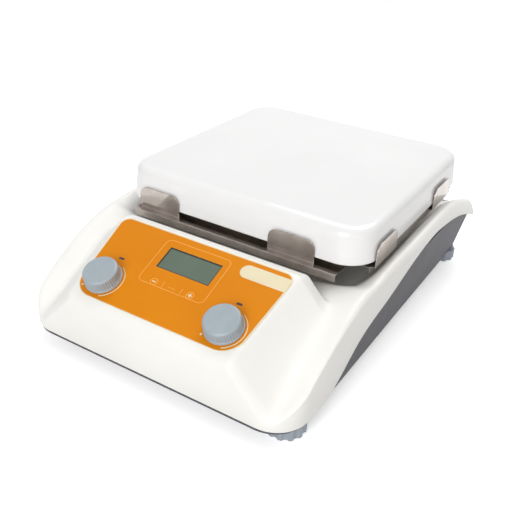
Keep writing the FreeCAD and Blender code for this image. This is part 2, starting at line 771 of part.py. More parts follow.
def make_upper_housing():
    """White shell: rails, well, turret and podium, with bosses and openings."""
    wall = S["shell_wall"]
    drop = wall / math.cos(math.radians(S["panel_slope"]))
    outside = soften(housing_form(0, 0))
    skirt_end = beside_seam(0, -1).cut(plan_prism(wall))
    shell = outside.cut(housing_form(wall, drop)).cut(skirt_end)
    floor_in = S["well_floor"] - drop
    low = S["base_low_z"] + wall + S["boss_foot_gap"]
    bosses = [around(S["boss_radius"], ROOM, x, y, low).common(outside) for x, y in BOSSES]
    mid = S["plate_centre_y"]
    for side, end in POSTS:
        bosses.append(around(S["boss_radius"], S["bracket_boss_height"], side * S["bracket_screw_x"],
                             mid + end * S["bracket_screw_y"], floor_in - S["bracket_boss_height"]))
    shell = shell.fuse(bosses)
    tools = panel_openings(-2 * wall, wall, S["key_gap"])
    strip_width = 2 * S["key_pitch"] + S["key_width"] + 4 * S["key_gap"]
    strip_height = S["key_height"] + 4 * S["key_gap"]
    tools.append(slab(strip_width, strip_height, -wall / 2, wall, 0, S["key_drop"]))
    for side, end in POSTS:
        x, y = side * S["post_spread"], mid + end * S["post_spread"]
        tools.append(around(S["stud_radius"] + S["stud_gap"], ROOM, x, y, floor_in - wall))
        tools.append(around(S["screw_radius"], S["screw_bite"] / 3, side * S["bracket_screw_x"],
                            mid + end * S["bracket_screw_y"], floor_in - S["bracket_boss_height"]))
    tools += [around(S["screw_radius"], S["screw_bite"], x, y, low) for x, y in BOSSES]
    tools.append(around(S["rod_barrel_radius"], ROOM, 0, number_of(ROD_Y), floor_in - wall))
    return node(feature("upper_housing shape", shell.cut(tools)), "upper_housing")


def base_form(inset):
    """Dark lower body: a flat-bottomed form that widens upwards, under the joint line."""
    front = inset + S["base_lip"] - S["body_depth"] / 2
    rear = S["body_depth"] / 2 - S["rear_setback"] - inset
    radius = S["corner_radius"] - S["base_lip"] - inset
    low_half = S["base_low_half_width"] - S["base_lip"] - inset
    low = plan_wire(low_half, low_half, front, rear, radius, S["base_low_z"])
    high = plan_wire(S["front_half_width"] - S["base_lip"] - inset,
                     S["rear_half_width"] - S["base_lip"] - inset, front, rear, radius, S["seam_top_z"])
    return Part.makeLoft([low, high], True, True)


def make_base_pan():
    """Lower shell with foot seats, screw holes, socket cut-outs and vents."""
    wall = S["shell_wall"]
    inside = base_form(wall)
    inside = inside.cut(Part.makeBox(2 * ROOM, 2 * S["body_depth"], wall,
                                     V(-ROOM, -S["body_depth"], S["base_low_z"])))
    pan = base_form(0).cut(inside).cut(beside_seam(S["seam_gap"], 1))
    low = S["base_low_z"]
    seats = []
    tools = []
    for x, y in foot_places():
        seats.append(around(2 * S["foot_stud_radius"], wall, x, y, low + wall))
        tools.append(around(S["foot_stud_radius"] + S["foot_fit"], 3 * wall, x, y, low - wall / 2))
    for x, y in BOSSES:
        tools.append(around(S["screw_radius"] + S["boss_foot_gap"], 3 * wall, x, y, low - wall))
        tools.append(around(S["screw_head_radius"] + S["boss_foot_gap"], S["screw_head_height"] / 2,
                            x, y, low))
    pan = pan.fuse(seats)
    rear = number_of(REAR_OUTSIDE) - 2 * wall
    tall = S["socket_z"]
    tools.append(rear_block(S["inlet_x"], S["inlet_width"], S["inlet_height"], rear, 4 * wall))
    tools.append(rear_block(S["switch_x"], S["switch_width"], S["switch_height"], rear, 4 * wall))
    tools.append(Part.makeCylinder(S["probe_radius"], 4 * wall, V(S["probe_x"], rear, tall), Y_AXIS))
    for index in range(int(S["vent_count"])):
        tools.append(rear_block(S["vent_x"] + index * S["vent_pitch"], S["vent_width"],
                                S["vent_height"], rear, 4 * wall))
    return node(feature("base_pan shape", pan.cut(tools)), "base_pan")


def rear_block(x, width, height, y, depth):
    """Block through the rear wall, centred at socket height."""
    return Part.makeBox(width, depth, height, V(x - width / 2, y, S["socket_z"] - height / 2))


def foot_places():
    """Plan centres of the four feet."""
    along = number_of(FOOT_Y)
    return [(side * x, y) for y, x in ((-along, number_of(FRONT_FOOT_X)), (along, number_of(REAR_FOOT_X)))
            for side in (-1, 1)]


def make_control_overlay():
    """Printed sheet on the panel, with openings for window, keys, lamps and dials."""
    low = S["panel_low_width"] / 2
    high = S["panel_high_width"] / 2
    half = S["panel_length"] / 2
    corners = [V(-low, -half, 0), V(low, -half, 0), V(high, half, 0), V(-high, half, 0)]
    radii = [S["panel_low_round"]] * 2 + [S["panel_high_round"]] * 2
    sheet_form = Part.Face(rounded_wire(corners, radii)).extrude(V(0, 0, S["overlay_thick"]))
    through = S["shell_wall"]
    gap = S["key_gap"]
    tools = [slab(S["display_width"], S["display_height"], -through, through, 0, S["display_rise"])]
    for name, index in KEYS:
        tools.append(slab(S["key_width"] + 2 * gap, S["key_height"] + 2 * gap, -through, through,
                          index * S["key_pitch"], S["key_drop"]))
    for name, side in DIALS:
        tools.append(panel_disc(S["bush_radius"] + gap, -through, through,
                                side * S["dial_spread"], S["dial_drop"]))
        tools.append(slab(S["lamp_width"], S["lamp_height"], -through, through,
                          side * S["lamp_spread"], S["lamp_rise"]))
    return node(feature("control_overlay shape", on_panel(sheet_form).cut(tools)), "control_overlay")


def make_display():
    """Window in the sheet's cut-out, and the module behind it."""
    window = box("window", ("display_width", "display_height", "window_thick"),
                 ("0", "display_rise", "overlay_thick - window_thick"), True)
    node(window, "display_window")
    border = "2 * module_border"
    module = box("module", (f"display_width + {border}", f"display_height + {border}", "module_depth"),
                 ("0", "display_rise", "-shell_wall - module_depth"), True)
    node(module, "display_module")


def make_keys():
    """Three keys with flanged stems, and the switch that each one presses."""
    switches = []
    for name, index in KEYS:
        across = f"{index} * key_pitch"
        flange_z = "-shell_wall - key_gap - key_flange_thick"
        cap = box(name + " cap", ("key_width", "key_height", "overlay_thick"),
                  (across, "key_drop", "0"), True)
        stem = box(name + " stem", ("key_stem_width", "key_stem_height", "shell_wall + key_gap"),
                   (across, "key_drop", "-shell_wall - key_gap"), True)
        flange = box(name + " flange", ("key_stem_width + 2 * key_flange", "key_stem_height + 2 * key_flange",
                                        "key_flange_thick"), (across, "key_drop", flange_z), True)
        node(fuse(name + " piece", cap, stem, flange), name)
        tall = "board_depth - shell_wall - 2 * key_gap - key_flange_thick - key_travel"
        switches.append(box(name + " switch", ("key_stem_width", "key_stem_height", tall),
                            (across, "key_drop", "-board_depth"), True))
    group("key_switches", *switches)


def make_dials():
    """Potentiometers, shafts and ribbed knobs."""
    for name, side in DIALS:
        across, up = f"{side} * dial_spread", "dial_drop"
        case = cylinder(name + " case", "pot_radius", "pot_height", (across, up, "-board_depth"), True)
        bush = cylinder(name + " bush", "bush_radius", "board_depth", (across, up, "-board_depth"), True)
        bore = cylinder(name + " bore", "shaft_radius + shaft_fit", "2 * board_depth",
                        (across, up, "2 * overlay_thick - board_depth"), True)
        node(cut(name + " potentiometer", fuse(name + " body", case, bush), bore), name + "_control")
        shaft = cylinder(name + " shaft", "shaft_radius",
                         "board_depth - 3 * overlay_thick + knob_height - knob_skirt",
                         (across, up, "3 * overlay_thick - board_depth"), True)
        node(shaft, name + "_shaft")
        make_knob(name, across, up)


def make_knob(name, across, up):
    """Turned form with a skirt, a coned grip and flutes round it."""
    body = new_body(name + "_knob")
    side_view = sketch(body, name + " knob profile", "XZ_Plane")
    draw_outline(side_view, (
        ("shaft_radius", "0"), ("knob_base_radius", "0"), ("knob_base_radius", "knob_skirt - knob_edge"),
        ("knob_base_radius - knob_edge", "knob_skirt"), ("knob_cap_radius", "knob_skirt + knob_step"),
        ("knob_top_radius", "knob_height - knob_crown"), ("knob_top_radius - knob_crown", "knob_height"),
        ("0", "knob_height"), ("0", "knob_height - knob_skirt"),
        ("shaft_radius", "knob_height - knob_skirt"),
    ))
    turned = add(body, "PartDesign::Revolution", name + " knob turned", side_view)
    turned.ReferenceAxis = (side_view, ["V_Axis"])
    turned.Angle = 360
    flute = sketch(body, name + " knob flute", "XY_Plane", "knob_skirt + knob_crown")
    draw_circle(flute, "knob_rib_radius", "0", "knob_cap_radius + knob_rib_radius / 4")
    groove = add(body, "PartDesign::Pocket", name + " knob groove", flute, Length="knob_height")
    groove.Reversed = True
    doc.recompute()
    pattern_round(body, name + " knob grip", groove, "knob_rib_count")
    place_on_panel(body, across, up, "overlay_thick + knob_lift")
    node(body, name + "_knob")


def make_lamps_and_board():
    """Lamp guides, control board, its spacers and screws."""
    lamps = [box(f"{name} lamp", ("lamp_width", "lamp_height", "board_depth + overlay_thick"),
                 (f"{side} * lamp_spread", "lamp_rise", "-board_depth"), True) for name, side in DIALS]
    group("indicator_lamps", *lamps)
    board = box("control board blank", ("control_board_width", "control_board_height", "board_thick"),
                ("0", "0", "-board_depth - board_thick"), True)
    spacers = []
    screws = []
    holes = []
    for side in (-1, 1):
        for end in (-1, 1):
            across = f"{side} * {SPACER_X}"
            up = f"{end} * {SPACER_Y} - board_spacer_shift"
            mark = f"{side}{end}"
            tube = cylinder("spacer " + mark, "board_spacer_radius", "board_depth - shell_wall",
                            (across, up, "-board_depth"), True)
            bore = cylinder("spacer bore " + mark, "screw_radius", "board_depth - 2 * shell_wall",
                            (across, up, "-board_depth"), True)
            spacers.append(cut("spacer tube " + mark, tube, bore))
            holes.append(cylinder("board hole " + mark, "screw_radius", "3 * board_thick",
                                  (across, up, "-board_depth - 2 * board_thick"), True))
            screws.append(screw("board screw " + mark, "screw_radius", "board_thick + screw_bite",
                                "screw_head_radius", "screw_head_height",
                                (across, up, "-board_depth - board_thick"), True))
    node(cut("control board", board, *holes), "control_board")
    group("board_spacers", *spacers)
    group("control_board_screws", *screws)


def make_top_plate():
    """Plate: drafted sides, rounded corners and top edge, hollow underneath."""
    body = new_body("top_plate")
    plan = sketch(body, "plate outline")
    draw_rounded(plan, "plate_side", "plate_side", "plate_corner")
    block = add(body, "PartDesign::Pad", "plate block", plan, Length="plate_height")
    block.setExpression("TaperAngle", cells("-plate_draft"))
    top = S["plate_height"]
    edge = fillet(body, "plate edge", block, lambda middle, way: abs(middle.z - top) < CLOSE, "plate_edge")
    under = sketch(body, "plate hollow outline")
    inner = "plate_side - 2 * plate_wall"
    draw_rounded(under, inner, inner, "plate_corner - plate_wall")
    hollow = add(body, "PartDesign::Pocket", "plate hollow", under, Length="plate_height - plate_roof")
    hollow.Reversed = True
    hollow.setExpression("TaperAngle", cells("-plate_draft"))
    bores = sketch(body, "plate screw bores", "XY_Plane", "plate_height - plate_roof")
    for side, end in POSTS:
        draw_circle(bores, "stud_radius", f"{side} * post_spread", f"{end} * post_spread")
    tapped = add(body, "PartDesign::Pocket", "plate tapped holes", bores, Length="stud_bite")
    tapped.Reversed = True
    place(body, 0, "plate_centre_y", "plate_rim_z")
    node(body, "top_plate")


def make_heater():
    """Heating element, insulation, sensor and safety cut-out under the plate."""
    mid = "plate_centre_y"
    blank = box("heater blank", ("heater_side", "heater_side", "heater_thick"), ("0", mid, HEATER_Z))
    eye = cylinder("heater eye", "heater_eye", "3 * heater_thick", ("0", mid, f"{HEATER_Z} - heater_thick"))
    node(cut("heater", blank, eye, *stud_holes("heater", HEATER_Z, "heater_thick")), "heating_element")
    tall = f"{HEATER_Z} - {TRAY_TOP}"
    pad = box("pad blank", ("heater_side", "heater_side", tall), ("0", mid, TRAY_TOP))
    node(cut("pad", pad, *stud_holes("pad", TRAY_TOP, tall)), "insulation_pad")
    sensor = cylinder("sensor", "sensor_radius", "sensor_height",
                      ("-sensor_spread", mid, f"{CEILING} - sensor_height"))
    node(sensor, "temperature_sensor")
    node(cylinder("cut-out", "cutout_radius", "sensor_height",
                  ("sensor_spread", mid, f"{CEILING} - sensor_height")), "safety_cutout")


def stud_holes(name, low, tall):
    """Clearance holes for the plate screws through one layer."""
    return [cylinder(f"{name} hole {side}{end}", "stud_radius + stud_gap", f"3 * ({tall})",
                     (f"{side} * post_spread", f"plate_centre_y + {end} * post_spread", f"{low} - ({tall})"))
            for side, end in POSTS]


def make_tray():
    """Thin sheet tray: cross-shaped plan, folded flanges and upturned clips."""
    mid = "plate_centre_y"
    run = "2 * tray_flange_half"
    parts = [
        box("tray across", ("2 * tray_half_width", run, "tray_thick"), ("0", mid, "tray_z")),
        box("tray along", (run, "2 * tray_reach", "tray_thick"), ("0", mid, "tray_z")),
    ]
    drop = "tray_flange_drop"
    clip_reach = "(plate_side / 2 + clip_gap + tray_thick / 2)"
    clip_tall = "clip_rise + tray_thick"
    ear = "clip_width / 2"
    for side in (-1, 1):
        side_edge = f"{side} * (tray_half_width - tray_thick / 2)"
        end_edge = f"{mid} + {side} * (tray_reach - tray_thick / 2)"
        parts.append(box(f"tray side flange {side}", ("tray_thick", run, drop),
                         (side_edge, mid, f"tray_z - {drop}")))
        parts.append(box(f"tray end flange {side}", (run, "tray_thick", drop),
                         ("0", end_edge, f"tray_z - {drop}")))
        for spot in ("clip_near", "clip_far"):
            along = f"{-side} * {spot}"
            parts.append(clip(f"end clip {side} {spot}", ("clip_width", "tray_thick", clip_tall),
                              (along, f"{mid} + {side} * {clip_reach}"), Y_AXIS))
            parts.append(clip(f"side clip {side} {spot}", ("tray_thick", "clip_width", clip_tall),
                              (f"{side} * {clip_reach}", f"{mid} - ({along})"), X_AXIS))
            parts.append(box(f"side ear {side} {spot}", (ear, "clip_width", "tray_thick"),
                             (f"{side} * ({clip_reach} + tray_thick / 2 - {ear} / 2)",
                              f"{mid} - ({along})", "tray_z")))
    tray = fuse("tray", *parts)
    node(cut("tray with holes", tray, *stud_holes("tray", "tray_z", "tray_thick")), "reflector_tray")


def clip(name, size, at, across):
    """Upturned clip with its two upper corners rounded."""
    block = box(name + " blank", size, (at[0], at[1], "tray_z"))
    doc.recompute()
    high = block.Shape.BoundBox.ZMax
    rounding = doc.addObject("Part::Fillet", name)
    rounding.Base = block
    chosen = []
    for index, edge in enumerate(block.Shape.Edges, 1):
        along = edge.tangentAt(edge.FirstParameter)
        if abs(along.dot(across)) > 0.9 and abs(edge.CenterOfMass.z - high) < CLOSE:
            chosen.append((index, S["clip_round"], S["clip_round"]))
    rounding.Edges = chosen
    return rounding


def make_posts():
    """Four posts between housing and tray, and the long screws through them."""
    posts = []
    studs = []
    for side, end in POSTS:
        mark = f"{side}{end}"
        at = (f"{side} * post_spread", f"plate_centre_y + {end} * post_spread")
        tube = cylinder("post " + mark, "post_radius", "tray_z - well_floor", (*at, "well_floor"))
        bore = cylinder("post bore " + mark, "stud_radius + stud_gap", "2 * tray_z", (*at, "0"))
        posts.append(cut("post tube " + mark, tube, bore))
        studs.append(screw("plate screw " + mark, "stud_radius", f"{CEILING} + stud_bite - {FLOOR_INSIDE}",
                           "stud_head_radius", "stud_head_height", (*at, FLOOR_INSIDE)))
    group("tray_posts", *posts)
    group("plate_screws", *studs)


def make_stirrer():
    """Motor, bearings and bracket, with shaft, carrier and magnets that spin."""
    mid = "plate_centre_y"
    plate = box("bracket blank", ("bracket_length", "bracket_width", "bracket_thick"), ("0", mid, BRACKET_Z))
    eye = cylinder("bracket eye", "bearing_radius + bearing_room", "3 * bracket_thick",
                   ("0", mid, f"{BRACKET_Z} - bracket_thick"))
    holes = []
    screws = []
    for side, end in POSTS:
        at = (f"{side} * bracket_screw_x", f"{mid} + {end} * bracket_screw_y")
        mark = f"{side}{end}"
        holes.append(cylinder("bracket hole " + mark, "screw_radius + boss_foot_gap", "3 * bracket_thick",
                              (*at, f"{BRACKET_Z} - bracket_thick")))
        screws.append(screw("motor screw " + mark, "screw_radius", "bracket_thick + screw_bite / 3",
                            "screw_head_radius", "screw_head_height", (*at, BRACKET_Z)))
    node(cut("bracket", plate, eye, *holes), "motor_bracket")
    group("motor_screws", *screws)
    can = cylinder("motor can", "motor_radius", "motor_height", ("0", mid, MOTOR_Z))
    bore = cylinder("motor bore", "motor_shaft_radius + 2 * bearing_room", "2 * motor_height",
                    ("0", mid, f"{MOTOR_Z} + motor_floor"))
    high_seat = f"{MOTOR_Z} + motor_height - bearing_height"
    low_seat = f"{MOTOR_Z} + motor_floor"
    seats = [cylinder("high bearing seat", "bearing_radius", "bearing_height + bearing_room",
                      ("0", mid, high_seat)),
             cylinder("low bearing seat", "bearing_radius", "bearing_height", ("0", mid, low_seat))]
    node(cut("motor", can, bore, *seats), "stirrer_motor")
    rings = []
    for name, low in (("high", high_seat), ("low", low_seat)):
        ring = cylinder(name + " ring", "bearing_radius", "bearing_height", ("0", mid, low))
        hole = cylinder(name + " ring hole", "motor_shaft_radius + shaft_fit", "3 * bearing_height",
                        ("0", mid, f"{low} - bearing_height"))
        rings.append(cut(name + " bearing", ring, hole))
    group("motor_bearings", *rings)
    shaft_z = f"({MOTOR_Z} + motor_floor + seam_gap)"
    node(cylinder("spindle", "motor_shaft_radius", f"{CARRIER_Z} + carrier_height - {shaft_z}",
                  ("0", mid, shaft_z)), "motor_shaft")
    disc = cylinder("carrier disc", "carrier_radius", "carrier_height", ("0", mid, CARRIER_Z))
    hub = cylinder("carrier hub", "2 * motor_shaft_radius", "carrier_height", 
                   ("0", mid, f"{CARRIER_Z} - carrier_hub_drop"))
    hole = cylinder("carrier hole", "motor_shaft_radius", "3 * carrier_height",
                    ("0", mid, f"{CARRIER_Z} - carrier_height"))
    magnet_z = f"{CARRIER_Z} + carrier_height - magnet_height"
    magnets = []
    pockets = []
    for side in (-1, 1):
        at = (f"{side} * magnet_spread", mid, magnet_z)
        magnets.append(cylinder(f"magnet {side}", "magnet_radius", "magnet_height", at))
        pockets.append(cylinder(f"magnet pocket {side}", "magnet_radius", "2 * magnet_height", at))
    node(cut("carrier", fuse("carrier blank", disc, hub), hole, *pockets), "magnet_carrier")
    group("drive_magnets", *magnets)


def make_foot(name, x, y):
    """Levelling foot: scalloped tread with a recess, and its stud."""
    body = new_body(name)
    plan = sketch(body, name + " tread outline")
    draw_circle(plan, "foot_radius")
    tread = add(body, "PartDesign::Pad", name + " tread", plan, Length="foot_height")
    ring = sketch(body, name + " recess outline")
    draw_circle(ring, "foot_pad_radius")
    recess = add(body, "PartDesign::Pocket", name + " recess", ring, Length="foot_height / 4")
    recess.Reversed = True
    stud_plan = sketch(body, name + " stud outline", "XY_Plane", "foot_height")
    draw_circle(stud_plan, "foot_stud_radius")
    add(body, "PartDesign::Pad", name + " stud", stud_plan, Length="foot_stud_height")
    notch = sketch(body, name + " scallop outline")
    draw_circle(notch, "foot_scallop_radius", "0", "foot_radius + foot_scallop_radius / 2")
    scallop = add(body, "PartDesign::Pocket", name + " scallop", notch, Length="foot_height")
    scallop.Reversed = True
    doc.recompute()
    pattern_round(body, name + " scallops", scallop, "foot_scallop_count")
    place(body, x, y, 0)
    return node(body, name), tread


def make_feet():
    """Two feet in front and two behind."""
    for end, y, x in (("front", f"-{FOOT_Y}", FRONT_FOOT_X), ("rear", FOOT_Y, REAR_FOOT_X)):
        for side, sign in (("left", "-"), ("right", "")):
            make_foot(f"{end}_{side}_foot", sign + x, y)


def make_housing_screws():
    """Screws up through the base into the upper shell's bosses."""
    screws = []
    for side, end in POSTS:
        at = (f"{side} * {BOSS_X}", f"{end} * {BOSS_Y}", "base_low_z + screw_head_height / 2")
        screws.append(screw(f"housing screw {side}{end}", "screw_radius", "screw_bite",
                            "screw_head_radius", "screw_head_height / 2", at))
    group("housing_screws", *screws)


def make_power():
    """Power board on spacers, with heat sink and capacitor, and the transformer."""
    x, y = "power_board_x", POWER_Y
    low = f"{BASE_INSIDE} + power_board_rise"
    blank = box("power board blank", ("power_board_width", "power_board_length", "board_thick"), (x, y, low))
    spacers = []
    screws = []
    for side, end in POSTS:
        at = (f"{x} + {side} * (power_board_width / 2 - power_screw_inset)",
              f"{y} + {end} * (power_board_length / 2 - power_screw_inset)")
        mark = f"{side}{end}"
        spacers.append(cylinder("power spacer " + mark, "board_spacer_radius", "power_board_rise",
                                (*at, BASE_INSIDE)))
        screws.append(cylinder("power screw " + mark, "screw_head_radius", "screw_head_height",
                               (*at, f"{low} + board_thick")))
    top = f"{low} + board_thick"
    relay = box("relay", ("relay_width", "relay_length", "relay_height"),
                (f"{x} - relay_offset", f"{y} - tall_part_offset", top))
    capacitor = cylinder("capacitor", "capacitor_radius", "capacitor_height",
                         (f"{x} + capacitor_offset", f"{y} - tall_part_offset", top))
    node(fuse("power board parts", blank, relay, capacitor), "power_board")
    group("power_board_spacers", *spacers)
    group("power_board_screws", *screws)
    web = box("sink web", ("sink_width", "sink_fin_thick * 2", "sink_height"),
              (x, f"{y} + tall_part_offset", top))
    fins = [box(f"sink fin {index}", ("sink_fin_thick", "sink_fin_length", "sink_height"),
                (f"{x} - sink_width / 2 + sink_fin_thick / 2 + {index} * (sink_width - sink_fin_thick) / "
                 f"{int(S['sink_fin_count']) - 1}", f"{y} + tall_part_offset + sink_fin_length / 2", top))
            for index in range(int(S["sink_fin_count"]))]
    node(fuse("sink", web, *fins), "heat_sink")
    tx, ty = "transformer_x", TRANSFORMER_Y
    core = box("core", ("transformer_width", "transformer_length * 0.5", "transformer_height"),
               (tx, ty, BASE_INSIDE))
    coil = box("coil", ("transformer_width * 0.7", "transformer_length", "transformer_height * 0.7"),
               (tx, ty, f"{BASE_INSIDE} + transformer_height * 0.15"))
    foot = box("core foot", ("transformer_width * 0.7", "transformer_length", "transformer_height * 0.15"),
               (tx, ty, BASE_INSIDE))
    node(fuse("transformer parts", core, coil, foot), "transformer")


def make_rear():
    """Mains inlet, switch and probe socket in the rear wall, and the rod socket."""
    lean = FreeCAD.Rotation(X_AXIS, -90)
    flange_y = f"{REAR_OUTSIDE} + flange_thick / 2"
    deep_y = f"{REAR_OUTSIDE} - inlet_depth / 2"
    low = "socket_z - inlet_height / 2"
    flange = box("inlet flange", ("inlet_width + 2 * inlet_flange", "flange_thick",
                                  "inlet_height + 2 * inlet_flange"),
                 ("inlet_x", flange_y, f"{low} - inlet_flange"))
    case = box("inlet case", ("inlet_width", "inlet_depth", "inlet_height"), ("inlet_x", deep_y, low))
    room = box("inlet room",
               ("inlet_width - 2 * socket_wall", "inlet_depth", "inlet_height - 2 * socket_wall"),
               ("inlet_x", f"{deep_y} + 4 * socket_wall", f"{low} + socket_wall"))
    pins = []
    for index, lift in ((-1, 0), (0, 1), (1, 0)):
        pins.append(box(f"inlet pin {index}", ("pin_width", "pin_length", "pin_height"),
                        (f"inlet_x + {index} * pin_pitch",
                         f"{REAR_OUTSIDE} - inlet_depth + 4 * socket_wall + pin_length / 2",
                         f"socket_z - pin_height + pin_height * {lift}")))
    shell = cut("inlet shell", fuse("inlet blank", flange, case), room)
    node(fuse("inlet", shell, *pins), "mains_inlet")
    low = "socket_z - switch_height / 2"
    flange = box("switch flange", ("switch_width + 2 * inlet_flange", "flange_thick",
                                   "switch_height + 2 * inlet_flange"),
                 ("switch_x", flange_y, f"{low} - inlet_flange"))
    case = box("switch case", ("switch_width", "switch_depth", "switch_height"),
               ("switch_x", f"{REAR_OUTSIDE} - switch_depth / 2", low))
    hole = box("switch room", ("rocker_width + 2 * rocker_gap", "switch_depth",
                               "2 * (rocker_radius + rocker_gap)"),
               ("switch_x", f"{REAR_OUTSIDE} - switch_depth / 2 + 2 * flange_thick",
                "socket_z - rocker_radius - rocker_gap"))
    node(cut("switch", fuse("switch blank", flange, case), hole), "switch_frame")
    make_rocker()
    barrel = cylinder("probe barrel", "probe_radius", "probe_depth",
                      ("probe_x", f"{REAR_OUTSIDE} - probe_depth", "socket_z"), turn=lean)
    collar = cylinder("probe collar", "probe_radius + inlet_flange", "flange_thick",
                      ("probe_x", REAR_OUTSIDE, "socket_z"), turn=lean)
    bore = cylinder("probe bore", "probe_bore", "probe_depth",
                    ("probe_x", f"{REAR_OUTSIDE} - probe_depth + 2 * flange_thick", "socket_z"), turn=lean)
    node(cut("probe", fuse("probe blank", barrel, collar), bore), "probe_socket")
    barrel = cylinder("rod barrel", "rod_barrel_radius", "rod_depth", ("0", ROD_Y, "well_floor - rod_depth"))
    collar = cylinder("rod collar", "rod_flange_radius", "rod_flange_thick", ("0", ROD_Y, "well_floor"))
    bore = cylinder("rod bore", "rod_radius", "2 * rod_depth",
                    ("0", ROD_Y, "well_floor - rod_depth + rod_floor"))
    node(cut("rod", fuse("rod blank", barrel, collar), bore), "rod_socket")


def make_rocker():
    """Rocker with two finger faces, tipped to its off side."""
    body = new_body("switch_rocker")
    side_view = sketch(body, "rocker profile", "YZ_Plane")
    reach = "rocker_radius"
    draw_outline(side_view, (
        (f"-{reach} * 0.4", f"-{reach} * 0.8"), (f"{reach} * 0.6", f"-{reach} * 0.78"),
        (f"{reach} * 0.45", "0"), (f"{reach} * 0.6", f"{reach} * 0.78"),
        (f"-{reach} * 0.4", f"{reach} * 0.8"),
    ))
    pad = add(body, "PartDesign::Pad", "rocker block", side_view, Length="rocker_width")
    pad.Midplane = True
    place(body, "switch_x", f"{REAR_OUTSIDE} - rocker_sink", "socket_z",
          FreeCAD.Rotation(X_AXIS, S["rocker_tilt"]))
    node(body, "switch_rocker")


make_upper_housing()
make_base_pan()
make_control_overlay()
make_display()
make_keys()
make_dials()
make_lamps_and_board()
make_top_plate()
make_heater()
make_tray()
make_posts()
make_stirrer()
make_feet()
make_housing_screws()
make_power()
make_rear()
doc.recompute()

for thing in doc.Objects:
    if {"Invalid", "Error"} & set(thing.State):
        raise RuntimeError(f"{thing.Label} failed: {thing.State}")
for piece in NODES:
    if piece.Shape.isNull() or not piece.Shape.isValid():
        raise RuntimeError(f"{piece.Label} has no valid shape")

os.makedirs("parts", exist_ok=True)
for piece in NODES:
    piece.Shape.exportStep(f"parts/{piece.Label}.step")
    print(piece.Label, len(piece.Shape.Solids), round(piece.Shape.Volume))
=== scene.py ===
import logging
import math
from collections.abc import Callable
from dataclasses import dataclass, field
from enum import Enum

import bmesh
import bpy
import numpy as np
from mathutils import Matrix, Vector


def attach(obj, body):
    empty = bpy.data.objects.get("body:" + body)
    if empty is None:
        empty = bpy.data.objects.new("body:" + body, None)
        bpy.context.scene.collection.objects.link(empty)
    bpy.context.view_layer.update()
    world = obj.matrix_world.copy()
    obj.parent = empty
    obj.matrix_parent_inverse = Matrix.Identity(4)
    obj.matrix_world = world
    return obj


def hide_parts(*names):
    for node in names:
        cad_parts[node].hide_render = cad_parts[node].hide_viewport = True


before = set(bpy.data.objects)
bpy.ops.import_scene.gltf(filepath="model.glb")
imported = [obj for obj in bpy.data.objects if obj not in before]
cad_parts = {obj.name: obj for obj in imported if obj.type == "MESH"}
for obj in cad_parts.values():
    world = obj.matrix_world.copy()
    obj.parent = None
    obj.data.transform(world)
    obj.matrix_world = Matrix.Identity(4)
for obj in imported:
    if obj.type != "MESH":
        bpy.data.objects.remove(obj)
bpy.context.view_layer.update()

LOG = logging.getLogger("hotplate_stirrer")
PURE_WHITE = "#FFFFFF"
MM = 0.001
WELD_MM = 0.002
FLAT_DEGREES = 0.5
CRISP_DEGREES = 40.0
Loop = list[tuple[float, float]]


def rgb(code: str) -> tuple[float, float, float, float]:
    """Turn an sRGB hex value into linear colour.

    Args:
        code: Six hex digits, with or without a hash sign.

    Returns:
        Red, green, blue and alpha as the shaders want them.
    """
    digits = code.lstrip("#")
    parts = [int(digits[at:at + 2], 16) / 255 for at in (0, 2, 4)]
    linear = [part / 12.92 if part <= 0.04045 else ((part + 0.055) / 1.055) ** 2.4 for part in parts]
    return (linear[0], linear[1], linear[2], 1.0)


def add_node(tree: bpy.types.NodeTree, kind: str, settings: dict | None = None,
             values: dict | None = None, links: dict | None = None) -> bpy.types.Node:
    """Add one shader node.

    Args:
        tree: Node tree that gets the node.
        kind: Blender's name of the node type.
        settings: Properties of the node itself.
        values: Input sockets, by name or number, and what they hold.
        links: Input sockets and the output sockets that feed them.

    Returns:
        The new node.
    """
    made = tree.nodes.new(kind)
    for name, value in (settings or {}).items():
        setattr(made, name, value)
    for name, value in (values or {}).items():
        made.inputs[name].default_value = value
    for name, source in (links or {}).items():
        tree.links.new(source, made.inputs[name])
    return made


class Pattern(Enum):
    """How a finish varies over its surface."""

    GRAIN = "grain"
    BRUSHED = "brushed"


